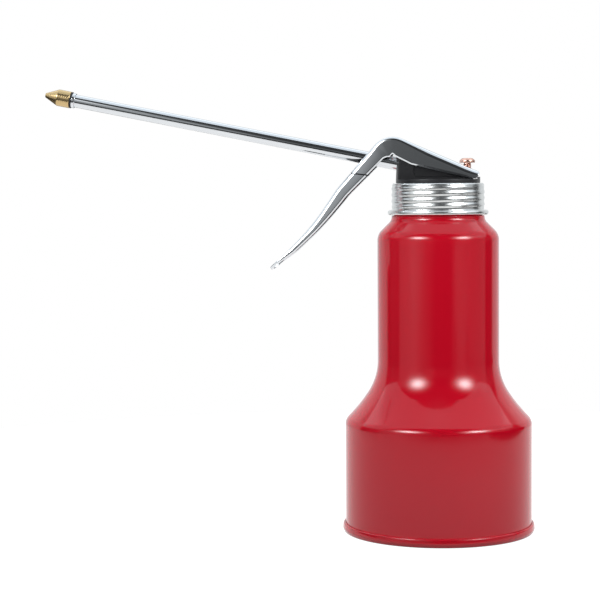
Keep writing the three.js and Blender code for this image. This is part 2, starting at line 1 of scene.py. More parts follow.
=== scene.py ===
# %% [markdown]
# # A pump oil can
# A hand oiler has a painted can, a bright screw cap that carries a black pump head, a chromed lever bent
# over the head, and a long spout with a brass nozzle. The frame already holds every piece as a plain solid,
# at its real size and in its place. This lesson makes the finished surface of each one. We load the frame
# first, and keep its box, because nothing that we make may be larger than the object.

# %% Load the frame
import math

import bmesh
import bpy
import numpy
from mathutils import Matrix, Vector


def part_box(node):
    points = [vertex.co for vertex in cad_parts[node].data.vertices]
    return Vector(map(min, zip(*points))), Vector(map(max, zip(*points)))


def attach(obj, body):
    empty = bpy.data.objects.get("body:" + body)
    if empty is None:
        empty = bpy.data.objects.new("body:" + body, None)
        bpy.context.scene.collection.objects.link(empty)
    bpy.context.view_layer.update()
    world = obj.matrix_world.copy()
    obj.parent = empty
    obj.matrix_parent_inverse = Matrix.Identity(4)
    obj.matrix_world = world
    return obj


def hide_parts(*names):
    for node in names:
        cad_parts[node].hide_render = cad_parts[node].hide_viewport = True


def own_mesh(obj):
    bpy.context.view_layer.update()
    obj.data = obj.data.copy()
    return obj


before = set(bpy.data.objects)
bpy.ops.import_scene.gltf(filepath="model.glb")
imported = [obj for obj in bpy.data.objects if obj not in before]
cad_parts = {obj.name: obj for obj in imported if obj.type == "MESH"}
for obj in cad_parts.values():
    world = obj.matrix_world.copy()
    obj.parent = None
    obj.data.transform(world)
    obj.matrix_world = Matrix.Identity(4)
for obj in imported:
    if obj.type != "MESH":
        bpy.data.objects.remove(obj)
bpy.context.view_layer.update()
MM = 0.001


def node_span(node):
    """The lowest and highest corners of a node, in millimetres."""
    low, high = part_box(node)
    return low / MM, high / MM


# %% [markdown]
# ## The camera
# The photographer stood a little above the cap, with a long lens. A camera can be placed by eye, or worked
# out from points whose real places are known: here the seam's two ends, the can's axis and the nozzle gave
# its place, its turn and its lens. The image is square, so the lens is for a square picture.

# %% Camera
CAMERA_PLACE = Vector((24.65, -894.31, 173.47))
CAMERA_YAW = math.radians(6.0)
CAMERA_TILT = math.radians(86.33)
CAMERA_ROLL = math.radians(-0.385)
CAMERA_LENS = 107.46

lens = bpy.data.cameras.new("camera")
lens.lens = CAMERA_LENS
camera = bpy.data.objects.new("camera", lens)
bpy.context.scene.collection.objects.link(camera)
camera.matrix_world = (
    Matrix.Translation(CAMERA_PLACE * MM)
    @ Matrix.Rotation(CAMERA_YAW, 4, "Z")
    @ Matrix.Rotation(CAMERA_TILT, 4, "X")
    @ Matrix.Rotation(CAMERA_ROLL, 4, "Z")
)
bpy.context.scene.camera = camera
print("camera", round(CAMERA_PLACE.length), "mm from the can's foot")

# %% [markdown]
# ## Sockets that can do sums
# A shader is a tree of nodes, and even a short formula takes many of them. Nodes can be added one by one,
# but the formula is then hard to read. This class wraps an output socket, so that `1 - mask * 0.2` in
# Python adds the Math nodes by itself. Its `node` method adds any other node.


# %% The socket class
class Sock:
    """An output socket in a node tree. Sums between Socks and numbers add Math nodes to the tree."""

    def __init__(self, tree, output=None):
        self.tree = tree
        self.output = output

    def node(self, kind, settings=None, inputs=None, output=0):
        """Add any node: its settings first, and then a value or a link for each named input."""
        node = self.tree.nodes.new(kind)
        for name, value in (settings or {}).items():
            if name == "stops":
                self.set_stops(node.color_ramp, value)
            else:
                setattr(node, name, value)
        for name, value in (inputs or {}).items():
            self.feed(value, node.inputs[name])
        return Sock(self.tree, node.outputs[output])

    def set_stops(self, ramp, stops):
        """Give a colour ramp its stops, as pairs of place and grey level."""
        while len(ramp.elements) < len(stops):
            ramp.elements.new(1.0)
        for element, (place, level) in zip(ramp.elements, stops):
            element.position = place
            element.color = (level, level, level, 1.0)

    def feed(self, value, socket):
        """Link a Sock to a socket, or set the socket to a plain value."""
        if isinstance(value, Sock):
            self.tree.links.new(value.output, socket)
        else:
            socket.default_value = value

    def beside(self, output):
        """Another output of the node that this socket belongs to."""
        return Sock(self.tree, self.output.node.outputs[output])

    def sum(self, operation, first, second):
        return self.node("ShaderNodeMath", {"operation": operation}, {0: first, 1: second})

    def __add__(self, other):
        return self.sum("ADD", self, other)

    def __sub__(self, other):
        return self.sum("SUBTRACT", self, other)

    def __rsub__(self, other):
        return self.sum("SUBTRACT", other, self)

    def __mul__(self, other):
        return self.sum("MULTIPLY", self, other)

    def __truediv__(self, other):
        return self.sum("DIVIDE", self, other)

    __radd__ = __add__
    __rmul__ = __mul__


print(Sock.__doc__)

# %% [markdown]
# ## The studio
# Chrome and gloss paint look like what stands round them, so the studio is half of their finish. The
# picture shows white paper behind the can, a white panel high above it, a dark room behind the camera with
# two pale screens and two lamps in it, and a table that ends a short way in front. The room could be built,
# but a world shader that works from a ray's bearing and height gives the same reflections. Bearings are in
# degrees from the camera's side, heights are in degrees from level, and the screens are a ramp round the
# whole circle. A pair of angles is where a strip of light fades out and where it is full.

# %% Ramps and mixes
MIX_FACTOR, MIX_FIRST, MIX_SECOND, MIX_RESULT = 0, 6, 7, 2


def strip(tree, value, dark, light):
    """0 at and past `dark`, 1 at and past `light`, and a smooth ramp between them."""
    settings = {"interpolation_type": "SMOOTHSTEP"}
    return tree.node("ShaderNodeMapRange", settings, {"Value": value, "From Min": dark, "From Max": light})


def between(tree, mask, first, second):
    """A colour that goes from `first` to `second` as the mask goes from 0 to 1."""
    inputs = {MIX_FACTOR: mask, MIX_FIRST: first, MIX_SECOND: second}
    return tree.node("ShaderNodeMix", {"data_type": "RGBA"}, inputs, MIX_RESULT)


print("ramps and mixes ready")

# %% World
SCREENS = (
    (-180, 0.95), (-113, 0.92), (-108, 0.06), (-79, 0.08), (-75, 0.55), (-46, 0.8), (-30, 0.45), (-6, 0.03),
    (25, 0.01), (29, 0.18), (59, 0.18), (63, 0.4), (99, 0.47), (103, 0.01), (122, 0.03), (127, 0.85),
    (180, 0.95),
)
SCREEN_TOP = (34, 26)
TABLE_EDGE = (-14, -11)
PAPER_SIDE, PAPER_TOP = (105, 120), (80, 60)
PAPER_WHITE, PAPER_HIGH = 1.0, 0.6
WALL_END, WALL_STEP = (-60, -45), (-2, -11)
WALL_FOOT, WALL_TOP = (-1.5, 0.5), (20, 15)
WALL_LEVEL, WALL_PALER = 0.1, 0.32
ROOM_LEVEL, ROOM_HIGH = 0.02, 0.035
CEILING = (28, 40)
LAMPS = ((-38, 27), (53, 26))
LAMP_SPREAD = (13.5, 8.0)
LAMP_LEVEL = 26.0
STUDIO_TINT = (0.95, 0.98, 1.0, 1.0)
WHITE = (1, 1, 1, 1)


def lamp_glow(tree, bearing, height, lamp):
    """A lamp behind a soft screen: a bright middle that fades out all round."""
    across = (bearing - lamp[0]) / LAMP_SPREAD[0]
    rise = (height - lamp[1]) / LAMP_SPREAD[1]
    return tree.sum("POWER", math.e, (across * across + rise * rise) * -1) * LAMP_LEVEL


def room_light(tree, bearing, height):
    """What a ray meets: screens and paper all round, a low wall behind the camera, and two lamps."""
    stops = [(turn / 360 + 0.5, level) for turn, level in SCREENS]
    ring = tree.node("ShaderNodeValToRGB", {"stops": stops}, {"Fac": bearing / 360 + 0.5})
    behind = strip(tree, tree.sum("ABSOLUTE", bearing, 0), *PAPER_SIDE) * strip(tree, height, *PAPER_TOP)
    tops = tree.sum("MAXIMUM", behind * PAPER_HIGH, strip(tree, height, *SCREEN_TOP))
    light = ring * strip(tree, height, *TABLE_EDGE) * tops
    wall = (strip(tree, bearing, *WALL_STEP) * WALL_PALER + WALL_LEVEL) * strip(tree, bearing, *WALL_END)
    wall = wall * strip(tree, height, *WALL_FOOT) * strip(tree, height, *WALL_TOP)
    light = tree.sum("MAXIMUM", light, wall) + ROOM_LEVEL + strip(tree, height, *CEILING) * ROOM_HIGH
    for lamp in LAMPS:
        light = light + lamp_glow(tree, bearing, height, lamp)
    return light


def studio_world():
    world = bpy.data.worlds.new("studio")
    world.use_nodes = True
    tree = Sock(world.node_tree)
    ray = tree.node("ShaderNodeTexCoord", output="Generated")
    right = tree.node("ShaderNodeSeparateXYZ", inputs={"Vector": ray}, output="X")
    bearing = tree.sum("ARCTAN2", right, right.beside("Y") * -1) * math.degrees(1)
    height = tree.sum("ARCSINE", right.beside("Z"), 0) * math.degrees(1)
    light = room_light(tree, bearing, height)
    seen = tree.node("ShaderNodeLightPath", output="Is Camera Ray")
    background = world.node_tree.nodes["Background"]
    tree.feed(light * (1 - seen) + seen * PAPER_WHITE, background.inputs["Strength"])
    tree.feed(between(tree, seen, STUDIO_TINT, WHITE), background.inputs["Color"])
    return world


bpy.context.scene.world = studio_world()
bpy.context.scene.world.cycles_visibility.diffuse = False
bpy.context.scene.view_settings.view_transform = "Standard"
print("world with", len(LAMPS), "lamps")

# %% [markdown]
# ### Light for gloss and light for paint
# A studio lamp does two jobs at once: it shows in gloss, and it lights what is matt. Area lights could do
# both here too, but then one job can't be matched without upsetting the other. So we part them. The world
# and the panel overhead light only gloss, and a ring of soft boxes lights only the paint. Each soft box is a
# bearing, a height, a distance in mm and a level.

# %% Overhead panel
PANEL_WIDE = 8200
PANEL_FRONT, PANEL_BACK = -654, 1300
PANEL_UP = 1500
PANEL_LEVEL = 1.08
PANEL_TINT = (0.86, 0.93, 1.0)


def overhead_panel():
    """A lit white sheet high over the can. Its front edge is what parts bright from dark in the chrome."""
    lamp = bpy.data.lights.new("overhead_panel", "AREA")
    lamp.shape = "RECTANGLE"
    lamp.size = PANEL_WIDE * MM
    lamp.size_y = (PANEL_BACK - PANEL_FRONT) * MM
    lamp.energy = PANEL_LEVEL * math.pi * lamp.size * lamp.size_y
    lamp.color = PANEL_TINT
    panel = bpy.data.objects.new("overhead_panel", lamp)
    panel.location = Vector((0, (PANEL_FRONT + PANEL_BACK) / 2, PANEL_UP)) * MM
    panel.visible_camera = False
    panel.visible_diffuse = False
    bpy.context.scene.collection.objects.link(panel)
    return panel


print("overhead panel of", round(overhead_panel().data.energy, 2), "W")

# %% Soft boxes
SOFT_BOXES = (
    (-38, 20, 2000, 0.26), (-38, 10, 300, 0.44), (45, 3, 300, 0.71), (100, 20, 800, 0.36),
    (-90, 10, 800, 0.39), (150, 25, 1500, 0.8), (-150, 25, 1500, 0.8), (0, 60, 250, 0.3),
)
SOFT_BOX_SPREAD = 0.5
GRIP_CENTRE = Vector((0, 0, 115))


def soft_box(bearing, height, distance, level):
    """A round light that faces the can's waist and doesn't show in gloss."""
    turn = Matrix.Rotation(math.radians(bearing), 3, "Z") @ Matrix.Rotation(-math.radians(height), 3, "X")
    way = turn @ Vector((0, -1, 0))
    lamp = bpy.data.lights.new("soft_box", "AREA")
    lamp.shape = "DISK"
    lamp.size = SOFT_BOX_SPREAD * distance * MM
    lamp.energy = level * (math.pi * distance * MM) ** 2
    box = bpy.data.objects.new("soft_box", lamp)
    facing = way.to_track_quat("Z", "Y").to_matrix().to_4x4()
    box.matrix_world = Matrix.Translation((GRIP_CENTRE + way * distance) * MM) @ facing
    box.visible_camera = False
    box.visible_glossy = False
    bpy.context.scene.collection.objects.link(box)


for place in SOFT_BOXES:
    soft_box(*place)
print(len(SOFT_BOXES), "soft boxes")

# %% [markdown]
# ### Table and card
# The table runs into the paper without a line, so it glows as white as the paper does. A low dark card
# stands beside the can. The camera can't see it, and it is there for the dark patch that the shoulder
# mirrors. Both are plain sheets of mesh, and no part of the object.

# %% Table and card
TABLE_RADIUS = 480
TABLE_DROP = 0.05
TABLE_SIDES = 128
TABLE_GREY, TABLE_GLOW = (0.1, 0.1, 0.1, 1), 1.0
CARD_REACH, CARD_MIDDLE = 200, 50
CARD_HALF, CARD_HIGH = 120, 42
CARD_BLACK = (0.01, 0.01, 0.01, 1)
MATT = 0.9


def new_object(name, bm):
    """An object in the scene whose mesh is what a bmesh holds."""
    mesh = bpy.data.meshes.new(name)
    bm.to_mesh(mesh)
    bm.free()
    thing = bpy.data.objects.new(name, mesh)
    bpy.context.scene.collection.objects.link(thing)
    return thing


def stage_piece(name, bm, colour, glow):
    """A plain matt thing of the studio, which throws no light of its own on the paint."""
    bmesh.ops.recalc_face_normals(bm, faces=bm.faces[:])
    thing = new_object(name, bm)
    paper = bpy.data.materials.new(name)
    paper.use_nodes = True
    shader = paper.node_tree.nodes["Principled BSDF"]
    shader.inputs["Base Color"].default_value = colour
    shader.inputs["Roughness"].default_value = MATT
    shader.inputs["Specular IOR Level"].default_value = 0.0
    shader.inputs["Emission Color"].default_value = WHITE
    shader.inputs["Emission Strength"].default_value = glow
    thing.data.materials.append(paper)
    thing.visible_diffuse = False
    return thing


def white_table():
    bm = bmesh.new()
    bmesh.ops.create_circle(bm, cap_ends=True, radius=TABLE_RADIUS * MM, segments=TABLE_SIDES)
    bmesh.ops.translate(bm, verts=bm.verts[:], vec=(0, 0, -TABLE_DROP * MM))
    stage_piece("white_table", bm, TABLE_GREY, TABLE_GLOW)


def dark_card():
    """A low card beside the can. The shoulder shows it, and the waist looks over it."""
    bm = bmesh.new()
    bmesh.ops.create_grid(bm, x_segments=1, y_segments=1, size=0.5)
    bmesh.ops.scale(bm, verts=bm.verts[:], vec=(CARD_HIGH * MM, 2 * CARD_HALF * MM, 1))
    bmesh.ops.rotate(bm, verts=bm.verts[:], matrix=Matrix.Rotation(math.radians(90), 3, "Y"))
    bmesh.ops.translate(bm, verts=bm.verts[:], vec=(CARD_REACH * MM, 0, CARD_MIDDLE * MM))
    card = stage_piece("dark_card", bm, CARD_BLACK, 0)
    card.visible_camera = False
    card.visible_shadow = False


white_table()
dark_card()
print("table", 2 * TABLE_RADIUS, "mm across, card", CARD_HIGH, "mm high")

# %% [markdown]
# ## Finishes
# Every finish starts from one Principled shader. What is the same all over, such as how metallic it is, is
# set on the shader itself. What varies, such as faint patches of colour or a grain, comes from noise on
# Object coordinates: they are real sizes in metres, so a grain keeps its size on every piece.


# %% Helpers for finishes
def srgb(red, green, blue):
    """A screen colour from 0 to 255, as the linear colour that a shader works in."""
    shares = [value / 255 for value in (red, green, blue)]
    return (*(s / 12.92 if s <= 0.04045 else ((s + 0.055) / 1.055) ** 2.4 for s in shares), 1.0)


def new_finish(name, fixed):
    """A material, its tree and its shader, with the sockets in `fixed` set."""
    material = bpy.data.materials.new(name)
    material.use_nodes = True
    shader = material.node_tree.nodes["Principled BSDF"]
    for socket, value in fixed.items():
        shader.inputs[socket].default_value = value
    return material, Sock(material.node_tree), shader


def patches(tree, size, detail=2.0, stretch=(1, 1, 1)):
    """Noise from 0 to 1, in patches of about `size` millimetres."""
    place = tree.node("ShaderNodeTexCoord", output="Object")
    drawn = tree.node("ShaderNodeMapping", inputs={"Vector": place, "Scale": stretch})
    inputs = {"Vector": drawn, "Scale": 1 / (size * MM), "Detail": detail}
    return tree.node("ShaderNodeTexNoise", inputs=inputs)


def relief(tree, height, depth):
    """A bumped normal whose height of 1 stands `depth` millimetres proud."""
    return tree.node("ShaderNodeBump", inputs={"Height": height, "Distance": depth * MM})


print("finish helpers ready")

# %% [markdown]
# ### Red gloss paint
# The can is dipped or sprayed, and the paint flows before it dries. That leaves a very faint orange peel,
# and a gloss that isn't quite even. A clear coat would give a second reflection that this plain enamel
# lacks.


# %% Red paint
def red_gloss_paint():
    material, tree, shader = new_finish("red_gloss_paint", {"IOR": 1.42})
    tone = patches(tree, 40)
    tree.feed(between(tree, tone, srgb(168, 6, 27), srgb(172, 8, 30)), shader.inputs["Base Color"])
    tree.feed(patches(tree, 15) * 0.03 + 0.07, shader.inputs["Roughness"])
    tree.feed(relief(tree, patches(tree, 1.8), 0.004), shader.inputs["Normal"])
    return material


RED_PAINT = red_gloss_paint()
print(RED_PAINT.name)

# %% [markdown]
# ### Plated metals
# Chrome, zinc and copper plate are all metals with a thin bright skin, so one function makes them: a colour
# with a little drift, a roughness that wanders, and a relief of rolling marks or pits under the plate.


# %% Plated metals
def plated_metal(name, dark, light, gloss, wander, grain, depth, stretch=(1, 1, 1)):
    material, tree, shader = new_finish(name, {"Metallic": 1.0})
    tree.feed(between(tree, patches(tree, 9, 3), dark, light), shader.inputs["Base Color"])
    tree.feed(patches(tree, 5, 4) * wander + gloss, shader.inputs["Roughness"])
    tree.feed(relief(tree, patches(tree, grain, 3, stretch), depth), shader.inputs["Normal"])
    return material


CHROME = plated_metal("chrome_plate", srgb(210, 213, 216), srgb(217, 220, 223), 0.06, 0.05, 2.5, 0.002)
ROLLED = (0.5, 0.5, 2.2)
ZINC = plated_metal("bright_zinc", srgb(200, 203, 205), srgb(224, 224, 221), 0.17, 0.13, 1.6, 0.02, ROLLED)
COPPER = plated_metal("copper_plate", srgb(204, 160, 144), srgb(226, 186, 170), 0.18, 0.12, 0.6, 0.006)
STEEL = plated_metal("plain_steel", srgb(168, 172, 176), srgb(188, 191, 194), 0.26, 0.12, 0.5, 0.004)
print(CHROME.name, ZINC.name, COPPER.name, STEEL.name)

# %% [markdown]
# ### Turned brass
# A lathe tool leaves fine rings round the axis of what it turns. The rings need the distance along the
# axis, so this finish takes the piece's own direction, and a wave along it makes both the relief and the
# darker lines.

# %% Turned brass
TOOL_PITCH = 0.45
RING_SHARE = 0.35


def turned_brass(name, axis):
    material, tree, shader = new_finish(name, {"Metallic": 1.0})
    place = tree.node("ShaderNodeTexCoord", output="Object")
    dot = {"operation": "DOT_PRODUCT"}
    along = tree.node("ShaderNodeVectorMath", dot, {0: place, 1: axis}, "Value")
    rings = tree.sum("SINE", along * (2 * math.pi / (TOOL_PITCH * MM)), 0) * 0.5 + 0.5
    drift = patches(tree, 3, 3)
    tone = rings * RING_SHARE + drift * (1 - RING_SHARE)
    tree.feed(between(tree, tone, srgb(186, 160, 112), srgb(210, 184, 138)), shader.inputs["Base Color"])
    tree.feed(drift * 0.1 + 0.2, shader.inputs["Roughness"])
    tree.feed(relief(tree, rings, 0.0012), shader.inputs["Normal"])
    return material


UPRIGHT = (0, 0, 1)
BRASS = turned_brass("turned_brass", UPRIGHT)
print(BRASS.name)

# %% [markdown]
# ### Moulded black plastic, rubber and tubing
# The head is moulded in a tool with a fine satin texture, so its gloss is broken by a grain a fraction of a
# millimetre wide. Rubber is the same idea with more roughness, and the dip tube lets light through.


# %% Plastics and rubber
def moulded(name, dark, light, gloss, grain, depth, fixed):
    material, tree, shader = new_finish(name, fixed)
    tree.feed(between(tree, patches(tree, 6, 3), dark, light), shader.inputs["Base Color"])
    tree.feed(patches(tree, 3, 3) * 0.12 + gloss, shader.inputs["Roughness"])
    tree.feed(relief(tree, patches(tree, grain, 2), depth), shader.inputs["Normal"])
    return material


BLACK = moulded("moulded_black", srgb(21, 21, 23), srgb(29, 29, 31), 0.34, 0.35, 0.012, {"IOR": 1.38})
RUBBER = moulded("black_rubber", srgb(20, 20, 21), srgb(30, 30, 31), 0.62, 0.5, 0.02, {"IOR": 1.5})
TUBING = moulded(
    "clear_tubing", srgb(214, 220, 214), srgb(226, 230, 224), 0.28, 2.0, 0.01, {"Transmission Weight": 0.4}
)
print(BLACK.name, RUBBER.name, TUBING.name)

# %% [markdown]
# ## Outlines and turning
# Most of this object is round. Such a piece can be carved from a cylinder, or drawn as half of its section
# and spun once about its axis, as on a lathe. We draw the section as corners, because that is how a drawing
# gives it: each corner is a place and, where it is rounded, a radius.

# %% Outlines
ARC_STEP = math.radians(9)
FINE_ARC_STEP = math.radians(3)


def rounded(corners, arc_step=ARC_STEP):
    """A line through (x, z) corners, in mm. A corner with a third number is an arc of that radius."""
    line = []
    for index, (x, z, *radius) in enumerate(corners):
        here = Vector((x, z))
        if not radius:
            line.append(here)
            continue
        back = (Vector(corners[index - 1][:2]) - here).normalized()
        ahead = (Vector(corners[(index + 1) % len(corners)][:2]) - here).normalized()
        half = back.angle(ahead) / 2
        centre = here + (back + ahead).normalized() * radius[0] / math.sin(half)
        spoke = here + back * radius[0] / math.tan(half) - centre
        turn = math.copysign(math.pi - 2 * half, ahead.cross(back))
        steps = max(2, round(abs(turn) / arc_step))
        for step in range(steps + 1):
            line.append(centre + Matrix.Rotation(turn * step / steps, 2) @ spoke)
    return line


def tube_corners(bore, radius, low, high, edge):
    """The four corners of a tube's wall, each rounded."""
    return [(bore, low, edge), (radius, low, edge), (radius, high, edge), (bore, high, edge)]


print("a tube's section has", len(rounded(tube_corners(1, 2, 0, 5, 0.2))), "points")

# %% Turning
WIDE_SIDES = 144
SMALL_SIDES = 64
MERGE = 0.001
FINE = 0.0005


def settle(bm):
    """Merge doubles, drop faces with no area, and point every face outwards."""
    bmesh.ops.remove_doubles(bm, verts=bm.verts[:], dist=MERGE * MM)
    bmesh.ops.dissolve_degenerate(bm, edges=bm.edges[:], dist=FINE * MM)
    bmesh.ops.recalc_face_normals(bm, faces=bm.faces[:])


def turned(line, sides=SMALL_SIDES, closed=True, place=None):
    """Spin a line of (radius, height) points, in mm, once about the Z axis, and move it to its place."""
    bm = bmesh.new()
    verts = [bm.verts.new((radius * MM, 0, height * MM)) for radius, height in line]
    ends = verts[1:] + verts[:1] if closed else verts[1:]
    edges = [bm.edges.new(pair) for pair in zip(verts, ends)]
    bmesh.ops.spin(
        bm, geom=verts + edges, axis=(0, 0, 1), cent=(0, 0, 0), angle=2 * math.pi, steps=sides, use_merge=True
    )
    settle(bm)
    if place:
        bmesh.ops.transform(bm, matrix=place, verts=bm.verts[:])
    return bm


print("turned pieces have", SMALL_SIDES, "sides, and the wide ones", WIDE_SIDES)

# %% [markdown]
# ## From a mesh to a piece
# A bmesh is only a shape. To count as a piece of the object it needs a finish, smooth shading with creases
# where the real edges are, a body to ride on, and the node that it stands for, which is then hidden. One
# function does all of that, so no piece can miss a step. Two more put a modifier to use and keep its result:
# Solidify for the wall of a sheet, and Boolean for cuts.

# %% Pieces
SMOOTH_UNDER = math.radians(32)


def shade(piece):
    """Shade a piece smooth, with creases where its faces meet at more than a shallow angle."""
    piece.data.shade_smooth()
    piece.data.set_sharp_from_angle(angle=SMOOTH_UNDER)


def make_piece(name, bm, finish, body, node):
    """Turn a bmesh into a finished piece that rides on a body and stands for a node."""
    piece = new_object(name, bm)
    piece.data.materials.append(finish)
    shade(piece)
    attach(piece, body)
    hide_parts(node)
    print(name, "has", len(piece.data.polygons), "faces")
    return piece


def keep_modifiers(piece):
    """Make what the modifiers give the piece's own mesh."""
    shown = piece.evaluated_get(bpy.context.evaluated_depsgraph_get())
    piece.data = bpy.data.meshes.new_from_object(shown)
    piece.modifiers.clear()
    shade(piece)


def thicken(piece, wall):
    """Give a skin a wall of some thickness, in mm, on its inner side."""
    sheet = piece.modifiers.new("wall", "SOLIDIFY")
    sheet.thickness = wall * MM
    sheet.offset = -1
    sheet.use_even_offset = True
    keep_modifiers(piece)


def carve(piece, *cutters):
    """Cut the shapes in some bmeshes out of a piece."""
    tools = [new_object("cutter", bm) for bm in cutters]
    for tool in tools:
        cut = piece.modifiers.new("cut", "BOOLEAN")
        cut.operation = "DIFFERENCE"
        cut.solver = "EXACT"
        cut.object = tool
    keep_modifiers(piece)
    for tool in tools:
        bpy.data.objects.remove(tool)


print("creases show over", round(math.degrees(SMOOTH_UNDER)), "degrees")

# %% [markdown]
# ## Rolled threads
# The neck and the cap carry one thread, rolled into thin sheet. It could be a spring-like ridge added on
# top, but a rolled thread is the sheet itself pushed out. So we cut a plain wall into many rows, and push
# each point out by how near it is to the helix.

# %% Rolled threads
ROWS_A_TURN = 14
THREAD_FADE = 0.55
THREAD_PITCH = 3.03
THREAD_RISE = 0.3


def near(place, target):
    """Whether a place in metres is a target in millimetres."""
    return abs(place / MM - target) < MERGE


def roll_thread(bm, low, high, pitch, rise):
    """Push a right-handed ridge out of the wall between two heights, in mm."""
    uprights = [
        edge for edge in bm.edges
        if all(any(near(vert.co.z, end) for vert in edge.verts) for end in (low, high))
    ]
    rows = round(ROWS_A_TURN * (high - low) / pitch)
    made = bmesh.ops.subdivide_edges(bm, edges=uprights, cuts=rows, use_grid_fill=True)
    for vert in made["geom_inner"]:
        if not isinstance(vert, bmesh.types.BMVert):
            continue
        height = vert.co.z / MM
        ends = min(height - low, high - height) / (THREAD_FADE * pitch)
        turn = height / pitch - math.atan2(vert.co.y, vert.co.x) / (2 * math.pi)
        ridge = rise * min(1, ends) * (0.5 + 0.5 * math.cos(2 * math.pi * turn))
        vert.co.xy *= 1 + ridge * MM / vert.co.xy.length


print("threads have", ROWS_A_TURN, "rows a turn")

# %% [markdown]
# ## The can
# The body is one piece of sheet, drawn in from a wide foot to a waist that a hand can hold, then to a
# collar and a neck. We draw the outer skin only, spin it, roll the neck's thread into it, and let Solidify
# add the sheet's thickness inwards, so that the wall is even round every bend.

# %% Can
SHEET = 0.6
BODY_RADIUS = node_span("can_shell")[1].x
NECK_TOP = node_span("can_shell")[1].z
WAIST_RADIUS = 30.2
COLLAR_RADIUS = 23.1
NECK_RADIUS = 21.6
FOOT = 1.3
BODY_CORNER = 56.08
FLARE_CORNER = (39.26, 63.32)
WAIST_CORNER = 77.26
SHOULDER_CORNER = 148.68
COLLAR_CORNER = 155.78
LEDGE = 158.0
NECK_THREAD = (160.4, 169.6)


def painted_can():
    line = rounded([
        (BODY_RADIUS, FOOT),
        (BODY_RADIUS, BODY_CORNER, 5.5),
        (*FLARE_CORNER, 75),
        (WAIST_RADIUS, WAIST_CORNER, 29.5),
        (WAIST_RADIUS, SHOULDER_CORNER, 7.2),
        (COLLAR_RADIUS, COLLAR_CORNER, 4),
        (COLLAR_RADIUS, LEDGE, 0.5),
        (NECK_RADIUS, LEDGE, 0.4),
        (NECK_RADIUS, NECK_THREAD[0]),
        (NECK_RADIUS, NECK_THREAD[1]),
        (NECK_RADIUS, NECK_TOP),
    ], FINE_ARC_STEP)
    bm = turned(line, WIDE_SIDES, closed=False)
    roll_thread(bm, *NECK_THREAD, THREAD_PITCH, THREAD_RISE)
    can = make_piece("painted_can", bm, RED_PAINT, "can", "can_shell")
    thicken(can, SHEET)


painted_can()

# %% [markdown]
# ## The base
# The bottom is a pressed panel whose edge is rolled together with the foot of the can into a seam. The seam
# stands proud of the body, is widest near the floor, and leaves a fine crevice where it meets the wall.

# %% Base
SEAM_RADIUS = node_span("base_plate")[1].x
SEAM_TOP = node_span("base_plate")[1].z
SEAM_BORE = BODY_RADIUS + 0.08
PANEL_EDGE = BODY_RADIUS - SHEET - 0.1
PANEL_RISE = 1.4
PANEL_SHEET = 0.8


def painted_base():
    line = rounded([
        (0, PANEL_RISE),
        (42.6, PANEL_RISE, 1.2),
        (44.4, 0, 1.0),
        (47.3, 0, 0.9),
        (SEAM_RADIUS, 1.9, 1.6),
        (SEAM_RADIUS - 0.35, SEAM_TOP, 0.9),
        (SEAM_BORE, SEAM_TOP, 0.2),
        (SEAM_BORE, 1.0),
        (PANEL_EDGE, 1.0),
        (PANEL_EDGE, PANEL_RISE + PANEL_SHEET),
        (0, PANEL_RISE + PANEL_SHEET),
    ])
    bm = turned(line, WIDE_SIDES, closed=False)
    make_piece("painted_base", bm, RED_PAINT, "can", "base_plate")


painted_base()

# %% [markdown]
# ## The screw cap
# The cap is a shallow cup of plated sheet. Its skirt carries the rolled thread, and its edge is curled out
# into a lip that fingers can turn. The same outline holds the inside, so the cap is a closed piece from one
# spin.

# %% Cap
CAP_LOW, CAP_HIGH = node_span("screw_cap")
CURL_RADIUS = CAP_HIGH.x
CURL_TOP = 160.7
SKIRT = (161.1, 172.9)
SKIRT_RADIUS = 22.78
CAP_BORE = 22.0
CAP_SHEET = 0.8
STEM_HOLE = 8.8


def plated_cap():
    line = rounded([
        (CAP_BORE, CAP_LOW.z, 0.3),
        (CURL_RADIUS, CAP_LOW.z, 1.1),
        (CURL_RADIUS, CURL_TOP, 1.1),
        (SKIRT_RADIUS, CURL_TOP, 0.4),
        (SKIRT_RADIUS, SKIRT[0]),
        (SKIRT_RADIUS, SKIRT[1]),
        (SKIRT_RADIUS, CAP_HIGH.z, 0.9),
        (STEM_HOLE, CAP_HIGH.z),
        (STEM_HOLE, CAP_HIGH.z - CAP_SHEET),
        (CAP_BORE, CAP_HIGH.z - CAP_SHEET, 0.4),
    ])
    bm = turned(line, WIDE_SIDES)
    roll_thread(bm, *SKIRT, THREAD_PITCH, THREAD_RISE)
    make_piece("plated_cap", bm, ZINC, "pump_head", "screw_cap")


plated_cap()

# %% [markdown]
# ## The pump head
# The head is one moulding: a round disc, a wedge with flat sides that the lever straddles, and a low lip at
# the rear that the lever's tail hooks behind. It could be three solids joined by Booleans, but a moulding
# has one skin. So we cut the disc's top face along the wedge's plan, and pull the faces up to the sloping
# top.

# %% Head plan
HEAD_LOW, HEAD_HIGH = node_span("pump_housing")
HEAD_RADIUS = HEAD_HIGH.x
HEAD_FOOT = CAP_HIGH.z + 0.02
DISC_TOP = 175.95
WEDGE_HALF = 7.3
WEDGE_REAR = 17.2
SADDLE = -13.0
LIP_FRONT = 19.35
LIP_TOP = 177.0
LIP_LEAN = 0.85
FRONT_DRAFT = 0.045
WEDGE_TOP = ((-HEAD_RADIUS, 188.2), (SADDLE, 186.95), (WEDGE_REAR, 178.4))


def flat_faces(bm, height, test):
    """The level faces at a height whose middle passes a test on x and y, in mm."""
    faces = []
    for face in bm.faces:
        middle = face.calc_center_median() / MM
        if all(near(vert.co.z, height) for vert in face.verts) and test(middle.x, middle.y):
            faces.append(face)
    return faces


